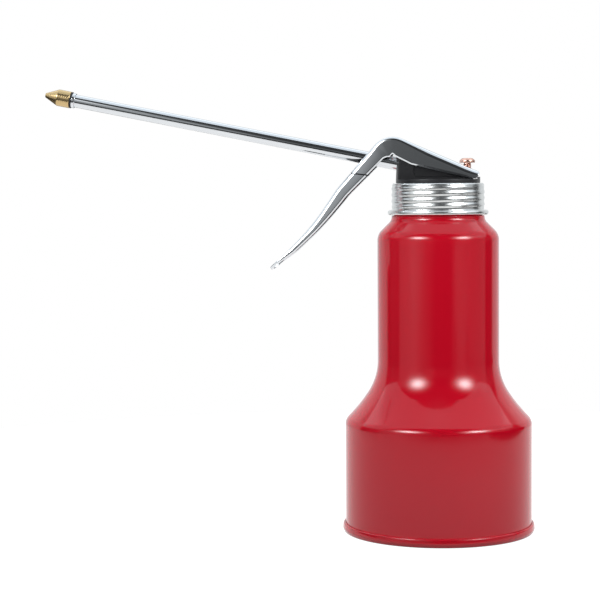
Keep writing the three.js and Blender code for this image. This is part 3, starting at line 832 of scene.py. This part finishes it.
def score(bm, faces, point, normal):
    """Cut a straight line across some faces."""
    parts = {part for face in faces for part in (face, *face.edges, *face.verts)}
    bmesh.ops.bisect_plane(
        bm, geom=list(parts), dist=FINE * MM, plane_co=Vector(point) * MM, plane_no=normal
    )


def pull_up(bm, faces):
    """Extrude some faces, and give back the raised corners."""
    made = bmesh.ops.extrude_face_region(bm, geom=faces)["geom"]
    return [part for part in made if isinstance(part, bmesh.types.BMVert)]


def head_disc():
    bm = bmesh.new()
    bmesh.ops.create_circle(bm, cap_ends=True, radius=HEAD_RADIUS * MM, segments=WIDE_SIDES)
    bmesh.ops.translate(bm, verts=bm.verts[:], vec=(0, 0, HEAD_FOOT * MM))
    raised = pull_up(bm, bm.faces[:])
    bmesh.ops.translate(bm, verts=raised, vec=(0, 0, (DISC_TOP - HEAD_FOOT) * MM))
    for side in (-WEDGE_HALF, WEDGE_HALF):
        score(bm, flat_faces(bm, DISC_TOP, lambda x, y: True), (0, side, 0), (0, 1, 0))
    for line in (SADDLE, WEDGE_REAR, LIP_FRONT):
        middle = flat_faces(bm, DISC_TOP, lambda x, y: abs(y) < WEDGE_HALF)
        score(bm, middle, (line, 0, 0), (1, 0, 0))
    return bm


def raise_wedge(bm):
    """Pull up the wedge's sloping top, and the lip behind it."""
    xs, heights = zip(*WEDGE_TOP)
    wedge = flat_faces(bm, DISC_TOP, lambda x, y: abs(y) < WEDGE_HALF and x < WEDGE_REAR)
    for vert in pull_up(bm, wedge):
        rise = numpy.interp(vert.co.x / MM, xs, heights) - DISC_TOP
        if vert.co.x < SADDLE * MM:
            vert.co.x += FRONT_DRAFT * rise * MM
        vert.co.z += rise * MM
    lip = flat_faces(bm, DISC_TOP, lambda x, y: abs(y) < WEDGE_HALF and x > LIP_FRONT)
    for vert in pull_up(bm, lip):
        if near(vert.co.x, LIP_FRONT):
            vert.co.x += LIP_LEAN * MM
        vert.co.z = LIP_TOP * MM


head_mesh = head_disc()
raise_wedge(head_mesh)
settle(head_mesh)
print("head", round(2 * HEAD_RADIUS, 1), "mm across, with a wedge", 2 * WEDGE_HALF, "mm wide")

# %% [markdown]
# ### Its recess and its rounds
# A thick moulding sinks as it cools, so the wedge's flat sides have a shallow recess that keeps the wall
# even: an inset with round corners, pushed in. The two upright edges at the front have a large round that
# shows as a highlight. A bevel over the whole mesh would round every edge alike, so each set of edges is
# picked by its place.

# %% Head recess and rounds
RECESS_MARGIN = 1.5
RECESS_DEEP = 0.6
RECESS_DRAFT = 0.35
RECESS_CORNER = 2.2
HEAD_EDGE = 0.45
FRONT_ROUND = 1.25
FRONT_TALL = 5.0
SHARP_OVER = math.radians(30)


def round_off(bm, parts, radius, segments, affect="EDGES", clamp=False):
    """Bevel some edges or corners by a radius, in mm."""
    bmesh.ops.bevel(
        bm, geom=parts, offset=radius * MM, offset_type="OFFSET", segments=segments, profile=0.5,
        affect=affect, clamp_overlap=clamp, material=-1,
    )


def side_wall(bm, side):
    """The largest face that looks along Y on one side."""
    facing = [face for face in bm.faces if face.normal.y * side > 0.99]
    return max(facing, key=lambda face: face.calc_area())


def round_front(bm):
    """Round the two upright edges between the wedge's sides and its front."""
    upright = [
        edge for edge in bm.edges
        if all(near(abs(vert.co.y), WEDGE_HALF) and vert.co.x < SADDLE * MM for vert in edge.verts)
        and abs(edge.verts[0].co.z - edge.verts[1].co.z) > FRONT_TALL * MM
    ]
    round_off(bm, upright, FRONT_ROUND, 8)
    print(len(upright), "front edges rounded")


def recess(bm, side):
    """Join a side into one face, and push its middle in."""
    joint = [
        edge for edge in bm.edges
        if all(near(vert.co.y, side * WEDGE_HALF) and near(vert.co.x, SADDLE) for vert in edge.verts)
    ]
    bmesh.ops.dissolve_edges(bm, edges=joint)
    bmesh.ops.inset_individual(bm, faces=[side_wall(bm, side)], thickness=RECESS_MARGIN * MM)
    round_off(bm, list(side_wall(bm, side).verts), RECESS_CORNER, 6, "VERTICES")
    floor = side_wall(bm, side)
    bmesh.ops.inset_individual(bm, faces=[floor], thickness=RECESS_DRAFT * MM, depth=-RECESS_DEEP * MM)


def round_edges(bm):
    """Round the moulding's sharp outer edges, and leave the fine ones of the recess."""
    sharp = [
        edge for edge in bm.edges
        if edge.is_manifold and edge.calc_face_angle(0) > SHARP_OVER and edge.calc_length() > HEAD_EDGE * MM
        and edge.is_convex
    ]
    round_off(bm, sharp, HEAD_EDGE, 3, clamp=True)


round_front(head_mesh)
recess(head_mesh, -1)
recess(head_mesh, 1)
print("recesses", RECESS_DEEP, "mm deep")

# %% [markdown]
# ### Its stem and its bores
# Under the disc, a stem and a spigot go down through the cap. Each is an inset of the underside that is
# pulled down. The bores for the plunger, the screw and the spout come last, by Boolean, because their edges
# cross the wedge's slopes at odd angles that no extrusion gives.

# %% Head stem and bores
SPOUT_ENTRY = Vector((-21.33, 0, 183.93))
SPOUT_RISE = math.radians(11.47)
SPOUT_PLACE = Matrix.Translation(SPOUT_ENTRY * MM) @ Matrix.Rotation(SPOUT_RISE - math.pi / 2, 4, "Y")
SPOUT_RADIUS = 3.25
SPOUT_SEAT = (-7.4, 9)
SCREW_X = 14.52
SCREW_BORE, SCREW_FLOOR = 2.15, 174.7
STEM_RADIUS, STEM_LOW = 8.5, 167.0
SPIGOT_RADIUS = 7.0
PLUNGER_BORE = 4.6
GLAND_BORE, GLAND_FLOOR = 5.35, 177.4
OVER_HEAD = 190
FIT = 0.15


def rod(radius, low, high, place=None):
    return turned([(0, low), (radius, low), (radius, high), (0, high)], closed=False, place=place)


def add_stem(bm):
    """Pull the stem and its spigot down from the disc's underside."""
    for radius, drop in ((STEM_RADIUS, STEM_LOW - HEAD_FOOT), (SPIGOT_RADIUS, HEAD_LOW.z - STEM_LOW)):
        under = min(bm.faces, key=lambda face: face.calc_center_median().z)
        reach = max(vert.co.xy.length for vert in under.verts) / MM
        bmesh.ops.inset_individual(bm, faces=[under], thickness=(reach - radius) * MM)
        lowered = pull_up(bm, [under])
        bmesh.ops.translate(bm, verts=lowered, vec=(0, 0, drop * MM))


def moulded_head(bm):
    head = make_piece("moulded_head", bm, BLACK, "pump_head", "pump_housing")
    carve(
        head,
        rod(PLUNGER_BORE, HEAD_LOW.z - 1, OVER_HEAD),
        rod(GLAND_BORE, GLAND_FLOOR, OVER_HEAD),
        rod(SCREW_BORE, SCREW_FLOOR, OVER_HEAD, Matrix.Translation((SCREW_X * MM, 0, 0))),
        rod(SPOUT_RADIUS + FIT, *SPOUT_SEAT, SPOUT_PLACE),
    )


add_stem(head_mesh)
settle(head_mesh)
round_edges(head_mesh)
moulded_head(head_mesh)

# %% [markdown]
# ## The lever
# The lever takes the most skill. One strip of sheet is folded into a channel, bent over an apex, and drawn
# to a closed corner at the tail. It could be built from flat panels, but its bends carry all the
# highlights. So we draw its section once, as a closed outline with rounded feet, and extrude it in short
# strides along the web's path. This cell draws the path, and tables say how deep, how round and how splayed
# the channel is along it, by the distance in mm from the tail's corner.

# %% Lever path
LEVER_SHEET = 1.1
LEVER_HALF = 9.0
TAIL_FOOT = (19.0, 176.0)
TAIL_CORNER = (21.17, 179.14, 1.3)
APEX_CORNER = (-25.34, 199.48, 12)
LEG_CORNERS = ((-49.96, 171.49, 30), (-61.75, 154.11, 120), (-75.03, 140.15, 120))
TONGUE_TIP = (-83.8, 132.5)
PATH_ARC_STEP = math.radians(1.5)
STRIDE = 0.6
TAIL_LENGTH = 4.35
FLANGE_DEPTHS = (
    (0, 4.2), (8, 5.65), (18.6, 7.6), (31.6, 9.9), (40, 9.4), (45.5, 8.5), (51.5, 9.6), (54.5, 9.3),
    (57.6, 7.8), (66, 7.25), (80, 6.3), (88, 5.85), (101, 4.5), (114, 3.35), (121.5, 2.9), (128, 2),
    (131.5, 1.6), (140, 1.6),
)
BENDS = (
    (-2.2, 0.5), (-0.2, 2.2), (2, 2.9), (6, 3.3), (26, 3.3), (39, 2.1), (46, 1.7), (50, 1.6), (60, 2.3),
)
SPLAYS = ((46, 0), (52, 0.3), (58, 1.5), (70, 3.2), (110, 3.4), (128, 1))
TONGUE_START = 129.0
TONGUE_HALF = 5.0


def lever_line():
    """Points a stride apart along the outer face of the web, from the tail's foot to the tongue."""
    bends = rounded([TAIL_FOOT, TAIL_CORNER, APEX_CORNER, *LEG_CORNERS, TONGUE_TIP], PATH_ARC_STEP)
    steps = [(after - before).length for before, after in zip(bends, bends[1:])]
    along = numpy.concatenate(([0], numpy.cumsum(steps)))
    stops = numpy.linspace(0, along[-1], round(along[-1] / STRIDE) + 1)
    xs = numpy.interp(stops, along, [point.x for point in bends])
    zs = numpy.interp(stops, along, [point.y for point in bends])
    return stops - TAIL_LENGTH, [Vector(pair) for pair in zip(xs, zs)]


def at(distance, table):
    """What a table of (distance, value) pairs holds at a distance along the lever."""
    marks, values = zip(*table)
    return float(numpy.interp(distance, marks, values))


def tongue_half(distance, length):
    """Half of the lever's width, which rounds off in plan over the tongue."""
    share = max(0, (distance - TONGUE_START) / (length - TONGUE_START))
    return LEVER_HALF - (LEVER_HALF - TONGUE_HALF) * (1 - math.sqrt(max(0, 1 - share * share)))


print("lever", round(lever_line()[0][-1] + TAIL_LENGTH), "mm long along its web")

# %% [markdown]
# ### The lever's section
# Sheet that is folded has a round outside, a tighter inside, and feet whose edges are broken and curl out a
# little. One function draws half of that outline and mirrors it, so every section has the same number of
# points, and the next step can join them. At the tail the feet run together, which closes the corner.

# %% Lever section
BEND_STEPS = 8
FOOT_EDGE = (
    (0, 1.05, 0), (0, 0.75, 1), (0.02, 0.69, 1), (0.12, 0.42, 0.3), (0.22, 0.14, 0), (0.25, 0.06, 0),
    (0.34, 0, 0), (0.9, 0, 0), (1.02, 0.05, 0), (1.1, 0.2, 0),
)
FOOT_RISE = FOOT_EDGE[0][1]
FOOT_SHARES = ((0, 0.2), (5, 1))
LIPS = ((0, 0.05), (4, 0.14), (22, 0.14), (30, 0))
FLANK_ROWS = (0.03, 0.27, 0.5, 0.73, 0.97)
FLANK_BOW = 0.45
MOST_BEND = 0.8
LEAST_INNER = 0.15
LEAST_FLANK = 0.3


def arc(across, down, radius, start, end):
    """Points round a corner of the section. Angles are in degrees from straight across, downwards."""
    turns = [math.radians(start + (end - start) * step / BEND_STEPS) for step in range(BEND_STEPS + 1)]
    return [(across + radius * math.cos(turn), down + radius * math.sin(turn)) for turn in turns]


def flank(top, foot, order):
    """Rows down a flange. They start steep and end nearly upright, so the flange is a little bowed."""
    span = foot[0] - top[0]
    drop = foot[1] - top[1]
    rows = [(top[0] + span * row * (1 + FLANK_BOW * (1 - row)), top[1] + drop * row) for row in FLANK_ROWS]
    return rows[::order]


def channel(half, depth, bend, splay, foot, lip):
    """The section's closed outline, as (across, down) points: one half, and then its mirror image."""
    end = depth - FOOT_RISE * foot
    bend = min(bend, MOST_BEND * end)
    floor = min(LEVER_SHEET, end - LEAST_FLANK)
    inner = min(max(LEAST_INNER, bend - LEVER_SHEET), MOST_BEND * (end - floor))
    top = half - (end - bend) * math.tan(math.radians(splay))
    side = arc(top - bend, bend, bend, -90, 0)
    side += flank((top, bend), (half, end), 1)
    side += [(half - inward + lip * share, depth - rise * foot) for inward, rise, share in FOOT_EDGE]
    side += flank((top - LEVER_SHEET, floor + inner), (half - LEVER_SHEET, end), -1)
    side += arc(top - LEVER_SHEET - inner, floor + inner, inner, 0, -90)
    return side + [(-across, down) for across, down in reversed(side)]


def lever_stations():
    """For each stride: the web's point, the way down into the channel, and the section there."""
    distances, line = lever_line()
    length = distances[-1]
    stations = []
    foot = None
    for index in range(len(line) - 1, -1, -1):
        here, distance = line[index], distances[index]
        tangent = (line[min(index + 1, len(line) - 1)] - line[max(index - 1, 0)]).normalized()
        down = Vector((-tangent.y, tangent.x))
        depth = at(distance, FLANGE_DEPTHS)
        rise = FOOT_RISE * at(distance, FOOT_SHARES)
        if distance < 0:
            down = (foot - here).normalized()
            depth = (foot - here).length + rise
        else:
            foot = here + down * (depth - rise)
        bend, splay, share, lip = (at(distance, table) for table in (BENDS, SPLAYS, FOOT_SHARES, LIPS))
        section = channel(tongue_half(distance, length), depth, bend, splay, share, lip)
        stations.append((here, down, section))
    return stations


LEVER_STATIONS = lever_stations()
print(len(LEVER_STATIONS), "sections of", len(LEVER_STATIONS[0][2]), "points")

# %% [markdown]
# ### The lever's skin
# A skin over sections can be lofted from a list of faces, or grown: the first outline is drawn, its edges
# are extruded, and the new edges are moved to the next section. We grow it, because the operator makes the
# faces. A number on each vertex says which point of the outline it is, and an extrusion copies it.


# %% Lever skin
def station_points(here, down, section):
    return [
        Vector((here.x + down.x * below, across, here.y + down.y * below)) * MM for across, below in section
    ]


def lever_skin():
    """Extrude the section's outline from station to station, and close both ends."""
    bm = bmesh.new()
    order = bm.verts.layers.int.new("place_in_section")
    first, *others = [station_points(*station) for station in LEVER_STATIONS]
    row = [bm.verts.new(point) for point in first]
    for index, vert in enumerate(row):
        vert[order] = index
    edges = [bm.edges.new(pair) for pair in zip(row, row[1:] + row[:1])]
    ends = [edges]
    for points in others:
        made = bmesh.ops.extrude_edge_only(bm, edges=edges)["geom"]
        edges = [part for part in made if isinstance(part, bmesh.types.BMEdge)]
        for vert in {vert for edge in edges for vert in edge.verts}:
            vert.co = points[vert[order]]
    ends.append(edges)
    for rim in ends:
        bmesh.ops.edgeloop_fill(bm, edges=rim)
    settle(bm)
    return bm


lever_mesh = lever_skin()
print("lever skin has", len(lever_mesh.faces), "faces")

# %% [markdown]
# ### The lever's crease
# A fine dark line crosses the leg. A line of colour alone would be lost from the shape, so it is a pressed
# groove: four cuts across the leg, with the corners between the inner two pushed in. Painted shade darkens
# it, which is a mask on the distance from the groove's plane.

# %% Lever crease
CREASE_POINT = Vector((-39.5, 0, 178.75))
CREASE_SLOPE = math.radians(7)
CREASE_WAY = Vector((math.sin(CREASE_SLOPE), 0, math.cos(CREASE_SLOPE)))
CREASE_LIP = 0.3
CREASE_FLOOR = 0.2
CREASE_DEPTH = 0.45
CREASE_REAR = -30.0
LEG_OUTWARD = Vector((-0.75, 0, 0.66))
FACES_OUT = 0.2
# Painted shade in the crease: its dark colour, where it starts and where it is full, and the roughness it
# adds.
CREASE_SHADE = srgb(38, 38, 40)
CREASE_SHADE_FROM, CREASE_SHADE_FULL = 1.2 * CREASE_LIP * MM, 0.7 * CREASE_LIP * MM
CREASE_SHADE_ROUGH = 0.3


def in_crease(vert):
    """Whether a corner lies on the floor of the groove, on the leg's outer side."""
    off = abs((vert.co - CREASE_POINT * MM).dot(CREASE_WAY)) / MM
    outward = LEG_OUTWARD + Vector((0, math.copysign(1, vert.co.y), 0))
    on_leg = vert.co.x < CREASE_REAR * MM
    return on_leg and off < CREASE_FLOOR + MERGE and vert.normal.dot(outward) > FACES_OUT


def crease(bm):
    """Press a fine groove across the outside of the leg."""
    for shift in (-CREASE_LIP, -CREASE_FLOOR, CREASE_FLOOR, CREASE_LIP):
        faces = [face for face in bm.faces if face.calc_center_median().x < CREASE_REAR * MM]
        score(bm, faces, CREASE_POINT + CREASE_WAY * shift, CREASE_WAY)
    bm.normal_update()
    pressed = [vert for vert in bm.verts if in_crease(vert)]
    for vert in pressed:
        vert.co -= vert.normal * CREASE_DEPTH * MM
    print(len(pressed), "corners pressed in")


def creased_chrome():
    """Chrome with a painted shade in the groove: a dark line, a little rougher."""
    material = CHROME.copy()
    material.name = "creased_chrome"
    tree = Sock(material.node_tree)
    sockets = material.node_tree.nodes["Principled BSDF"].inputs
    plate = Sock(tree.tree, sockets["Base Color"].links[0].from_socket)
    gloss = Sock(tree.tree, sockets["Roughness"].links[0].from_socket)
    place = tree.node("ShaderNodeTexCoord", output="Object")
    away = tree.node("ShaderNodeVectorMath", {"operation": "SUBTRACT"}, {0: place, 1: CREASE_POINT * MM})
    off = tree.node("ShaderNodeVectorMath", {"operation": "DOT_PRODUCT"}, {0: away, 1: CREASE_WAY}, "Value")
    # The painted shade: dark and rougher chrome near the groove's plane.
    painted_shade = strip(tree, tree.sum("ABSOLUTE", off, 0), CREASE_SHADE_FROM, CREASE_SHADE_FULL)
    tree.feed(between(tree, painted_shade, plate, CREASE_SHADE), sockets["Base Color"])
    tree.feed(gloss + painted_shade * CREASE_SHADE_ROUGH, sockets["Roughness"])
    return material


crease(lever_mesh)

# %% [markdown]
# ### The lever's cut-outs
# The web has a slot that the spout passes through, long enough for the lever's whole swing, and a slot for
# the keeper screw. Both are cut by Boolean with a prism. The spout's slot lies between two lines: the
# tube's underside at rest, and its upper side as the lever sees it when it is squeezed.

# %% Lever cut-outs
SLOT_HALF = 4.0
SLOT_ROUND = 2.5
SLOT_FRONT, SLOT_REAR = -60.0, -18.0
SLOT_CLEARANCE = 0.6
SWING = math.radians(8)
PIVOT = Vector((18.6, 176.3))
SCREW_SLOT = (6.8, 5.2)
SCREW_SLOT_LOW, SCREW_SLOT_TALL = 178.5, 8
HALF_ROUND = 0.999


def prism(points, way):
    """A solid from a flat outline of points pushed along a way, in mm."""
    bm = bmesh.new()
    bm.faces.new([bm.verts.new(Vector(point) * MM) for point in points])
    raised = pull_up(bm, bm.faces[:])
    bmesh.ops.translate(bm, verts=raised, vec=Vector(way) * MM)
    bmesh.ops.recalc_face_normals(bm, faces=bm.faces[:])
    return bm


def spout_slot():
    """Room for the spout from rest to the full swing, with round corners."""
    reach = SPOUT_RADIUS + SLOT_CLEARANCE
    entry = Vector((SPOUT_ENTRY.x, SPOUT_ENTRY.z))
    raised = PIVOT + Matrix.Rotation(-SWING, 2) @ (entry - PIVOT)

    def corner(point, slope, side, x):
        return (x, -SLOT_HALF, point.y + (point.x - x) * math.tan(slope) + side * reach / math.cos(slope))

    bm = prism([
        corner(entry, SPOUT_RISE, -1, SLOT_FRONT),
        corner(entry, SPOUT_RISE, -1, SLOT_REAR),
        corner(raised, SPOUT_RISE + SWING, 1, SLOT_REAR),
        corner(raised, SPOUT_RISE + SWING, 1, SLOT_FRONT),
    ], (0, 2 * SLOT_HALF, 0))
    lengthwise = [edge for edge in bm.edges if abs(edge.verts[0].co.x - edge.verts[1].co.x) > 10 * MM]
    round_off(bm, lengthwise, SLOT_ROUND, 8)
    return bm


def screw_slot():
    """A slot with round ends. Their radius is a hair short of half its width, so no two points meet."""
    long, wide = (size / 2 for size in SCREW_SLOT)
    corners = [(-long, -wide), (long, -wide), (long, wide), (-long, wide)]
    line = rounded([(SCREW_X + x, y, wide * HALF_ROUND) for x, y in corners])
    return prism([(x, y, SCREW_SLOT_LOW) for x, y in line], (0, 0, SCREW_SLOT_TALL))


lever = make_piece("formed_lever", lever_mesh, creased_chrome(), "lever", "lever")
carve(lever, spout_slot(), screw_slot())

# %% [markdown]
# ## The spout and its nozzle
# The spout is a plain bright tube. A curve with a round bevel could make it, but all its pieces are round
# about one axis, so each is turned upright and then laid along that axis by one matrix. A collar, a thin
# black washer and a brass nozzle sit on its end. The nozzle keeps a few fine rings from the tool.

# %% Spout
SPOUT_END = 171.0
SPOUT_BORE = 2.45
SPOUT_INSET = 7.2
SLEEVE_BORE = SPOUT_RADIUS + FIT
PIPE_SHAPE = tube_corners(SPOUT_BORE, SPOUT_RADIUS, -SPOUT_INSET, SPOUT_END, 0.2)
COLLAR_SHAPE = tube_corners(SLEEVE_BORE, 3.75, 164.8, 166.5, 0.2)
WASHER_SHAPE = tube_corners(SLEEVE_BORE, 4.1, 166.65, 167.35, 0.15)


def along_spout(name, corners, finish, node):
    make_piece(name, turned(rounded(corners), place=SPOUT_PLACE), finish, "pump_head", node)


along_spout("spout_pipe", PIPE_SHAPE, CHROME, "spout_tube")
along_spout("spout_collar", COLLAR_SHAPE, CHROME, "spout_ferrule")
along_spout("nozzle_washer", WASHER_SHAPE, RUBBER, "nozzle_seal")

# %% Nozzle
NOZZLE_START = 167.4
NOZZLE_SHOULDER = 173.9
NOZZLE_TIP = 180.5
NOZZLE_RADIUS = 4.2
NOZZLE_SOCKET = 171.4
TIP_RADIUS = 1.1
ORIFICE = 0.7
GROOVES = 5
GROOVE_DEPTH = 0.012
GROOVE_HALF = 0.15
SPOUT_WAY = tuple(SPOUT_PLACE.to_3x3() @ Vector(UPRIGHT))


def nozzle_corners():
    step = (NOZZLE_SHOULDER - NOZZLE_START) / (GROOVES + 1)
    grooves = []
    for index in range(1, GROOVES + 1):
        middle = NOZZLE_START + step * index
        grooves += [
            (NOZZLE_RADIUS, middle - GROOVE_HALF),
            (NOZZLE_RADIUS - GROOVE_DEPTH, middle),
            (NOZZLE_RADIUS, middle + GROOVE_HALF),
        ]
    return [
        (SLEEVE_BORE, NOZZLE_START, 0.1), (NOZZLE_RADIUS, NOZZLE_START, 0.35), *grooves,
        (NOZZLE_RADIUS, NOZZLE_SHOULDER, 0.8), (TIP_RADIUS, NOZZLE_TIP, 0.25),
        (ORIFICE, NOZZLE_TIP), (ORIFICE, NOZZLE_SOCKET), (SLEEVE_BORE, NOZZLE_SOCKET),
    ]


NOZZLE_BRASS = turned_brass("nozzle_brass", SPOUT_WAY)
along_spout("brass_nozzle", nozzle_corners(), NOZZLE_BRASS, "nozzle_tip")

# %% [markdown]
# ## The keeper screw
# One copper-plated pan-head screw keeps the lever from lifting off. Its head is turned, its shank carries a
# fine thread made as on the cap, and its cross recess is cut with a Boolean, because no spin can make a
# cross.

# %% Screw
SCREW_LOW, SCREW_HIGH = node_span("keeper_screw")
HEAD_UNDER = 184.0
PAN_RADIUS = 3.9
SHANK_RADIUS = 1.72
SHANK_POINT = SHANK_RADIUS - 0.4
SHANK = (175.5, 183.6)
SCREW_PITCH = 0.7
SCREW_RISE = 0.26
CROSS_HALF = 0.45
CROSS_REACH = 1.9
CROSS_DEPTH = 1.3


def cross_recess():
    points = []
    for quarter in range(4):
        turn = Matrix.Rotation(quarter * math.pi / 2, 2)
        for x, y in ((CROSS_HALF, -CROSS_HALF), (CROSS_REACH, -CROSS_HALF), (CROSS_REACH, CROSS_HALF)):
            corner = turn @ Vector((x, y))
            points.append((SCREW_X + corner.x, corner.y, SCREW_HIGH.z - CROSS_DEPTH))
    return prism(points, (0, 0, 2 * CROSS_DEPTH))


def copper_screw():
    line = rounded([
        (0, SCREW_LOW.z),
        (SHANK_POINT, SCREW_LOW.z),
        (SHANK_RADIUS, SHANK[0]),
        (SHANK_RADIUS, SHANK[1]),
        (SHANK_RADIUS, HEAD_UNDER, 0.2),
        (PAN_RADIUS, HEAD_UNDER, 0.25),
        (PAN_RADIUS - 0.1, 185.3, 0.75),
        (2.5, SCREW_HIGH.z, 1.4),
        (0, SCREW_HIGH.z),
    ])
    bm = turned(line, closed=False)
    roll_thread(bm, *SHANK, SCREW_PITCH, SCREW_RISE)
    bmesh.ops.translate(bm, verts=bm.verts[:], vec=(SCREW_X * MM, 0, 0))
    screw = make_piece("copper_screw", bm, COPPER, "pump_head", "keeper_screw")
    carve(screw, cross_recess())


copper_screw()

# %% [markdown]
# ## The pump's inner pieces
# The cap and the head hide a small pump. Its rings differ only in their bore and finish, so the frame gives
# their height and width and a table gives the rest. Each has its sharp edges broken, as turned pieces do.

# %% Rings
RINGS = {
    "cap_gasket": ("gasket", 15.0, 0.25, RUBBER, "rubber"),
    "clamp_washer": ("pump_head", STEM_HOLE, 0.2, STEEL, "steel"),
    "rod_seal": ("pump_head", 3.7, 0.3, RUBBER, "rubber"),
    "gland_bush": ("pump_head", 3.7, 0.2, BRASS, "brass"),
    "spring_cup": ("plunger", 2.4, 0.3, STEEL, "steel"),
    "ball_keeper": ("pump_head", 2.0, 0.15, BRASS, "brass"),
    "dip_tube": ("pump_head", 3.2, 0.15, TUBING, "clear_plastic"),
}

for node, (body, bore, edge, finish, slot) in RINGS.items():
    low, high = node_span(node)
    ring = rounded(tube_corners(bore, high.x, low.z, high.z, edge))
    make_piece("turned_" + node, turned(ring), finish, body, node)

# %% [markdown]
# ## The stepped pieces
# The plunger, the barrel, the inlet seat and the strainer have steps, so each has an outline of its own.
# The clamp nut is a turned blank whose six flats are sliced off, which leaves the curved chamfer of a real
# nut.


# %% Stepped pieces
def stepped(node, corners, finish, body):
    """A turned piece from its own outline, which is open where it starts on the axis."""
    bm = turned(rounded(corners), closed=corners[0][0] > 0)
    make_piece("turned_" + node, bm, finish, body, node)


stepped("plunger", [
    (0, 143), (2.2, 143, 0.4), (2.2, 152), (3.5, 152, 0.3), (3.5, 186.43, 3.45), (0, 186.43),
], STEEL, "plunger")
stepped("pump_barrel", [
    (6.4, 119.7, 0.2), (8, 119.7, 0.3), (8, 160, 0.3), (8.4, 160, 0.1), (8.4, 166.7, 0.2), (7.3, 166.7, 0.2),
    (7.3, 160.7), (6.4, 160.7, 0.2),
], BRASS, "pump_head")
stepped("inlet_seat", [
    (1.6, 103, 0.2), (2.9, 103, 0.3), (2.9, 117, 0.3), (8, 117, 0.4), (8, 119.4, 0.3), (6.1, 119.4, 0.1),
    (6.1, 127.5, 0.3), (3.6, 127.5, 0.2), (3.6, 121.8), (1.6, 120),
], BRASS, "pump_head")
stepped("strainer", [
    (2, 5.5, 0.2), (6, 5.5, 0.8), (6, 15.5, 0.3), (4.2, 15.5, 0.2), (4.2, 7.5), (2, 7.5),
], BRASS, "pump_head")

# %% Clamp nut
NUT_CHAMFER = math.radians(30)
NUT_FLATS = 6


def clamp_nut():
    low, high = node_span("clamp_nut")
    corner = high.x
    flat = corner * math.cos(math.pi / NUT_FLATS)
    drop = (corner - flat) * math.tan(NUT_CHAMFER)
    bm = turned([
        (STEM_HOLE, low.z), (flat, low.z), (corner, low.z + drop), (corner, high.z - drop), (flat, high.z),
        (STEM_HOLE, high.z),
    ], WIDE_SIDES)
    for index in range(NUT_FLATS):
        turn = 2 * math.pi * (index + 0.5) / NUT_FLATS
        way = Vector((math.cos(turn), math.sin(turn), 0))
        parts = bm.verts[:] + bm.edges[:] + bm.faces[:]
        made = bmesh.ops.bisect_plane(
            bm, geom=parts, dist=FINE * MM, plane_co=way * flat * MM, plane_no=way, clear_outer=True
        )
        rim = [part for part in made["geom_cut"] if isinstance(part, bmesh.types.BMEdge)]
        bmesh.ops.edgeloop_fill(bm, edges=rim)
    settle(bm)
    make_piece("hex_clamp_nut", bm, STEEL, "pump_head", "clamp_nut")


clamp_nut()

# %% [markdown]
# ## The valve balls and the spring
# A ball is a sphere of subdivided triangles, which has no pole to pinch its highlight. The spring is a
# circle of wire spun about the axis while it climbs: a slow climb for the closed end turns and a quick one
# between. It is the one piece that changes shape, so it gets a mesh of its own.

# %% Balls
BALL_CUTS = 4

for node in ("inlet_ball", "outlet_ball"):
    low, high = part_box(node)
    bm = bmesh.new()
    centre = Matrix.Translation((low + high) / 2)
    bmesh.ops.create_icosphere(bm, subdivisions=BALL_CUTS, radius=(high.z - low.z) / 2, matrix=centre)
    make_piece("steel_" + node, bm, STEEL, node, node)

# %% Spring
SPRING_LOW, SPRING_HIGH = node_span("return_spring")
WIRE_RADIUS = 0.6
COIL_RADIUS = 4.3
CLOSED_PITCH = 1.3
OPEN_TURNS = 5
STEPS_A_TURN = 36
WIRE_SIDES = 12


def wound_spring():
    bm = bmesh.new()
    start = Vector((COIL_RADIUS, 0, SPRING_LOW.z + WIRE_RADIUS)) * MM
    place = Matrix.Translation(start) @ Matrix.Rotation(math.pi / 2, 4, "X")
    bmesh.ops.create_circle(bm, segments=WIRE_SIDES, radius=WIRE_RADIUS * MM, matrix=place)
    ends = [bm.edges[:]]
    geom = bm.verts[:] + bm.edges[:]
    climb = SPRING_HIGH.z - SPRING_LOW.z - 2 * WIRE_RADIUS - 2 * CLOSED_PITCH
    for turns, rise in ((1, CLOSED_PITCH), (OPEN_TURNS, climb), (1, CLOSED_PITCH)):
        steps = turns * STEPS_A_TURN
        made = bmesh.ops.spin(
            bm, geom=geom, cent=(0, 0, 0), axis=(0, 0, 1), dvec=(0, 0, rise * MM / steps),
            angle=2 * math.pi * turns, steps=steps,
        )
        geom = made["geom_last"]
    ends.append([part for part in geom if isinstance(part, bmesh.types.BMEdge)])
    for rim in ends:
        bmesh.ops.edgeloop_fill(bm, edges=rim)
    settle(bm)
    spring = make_piece("wound_spring", bm, STEEL, "pump_head", "return_spring")
    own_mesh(spring)


wound_spring()

# %% [markdown]
# ## The object's size
# Blender must not change the object's size.
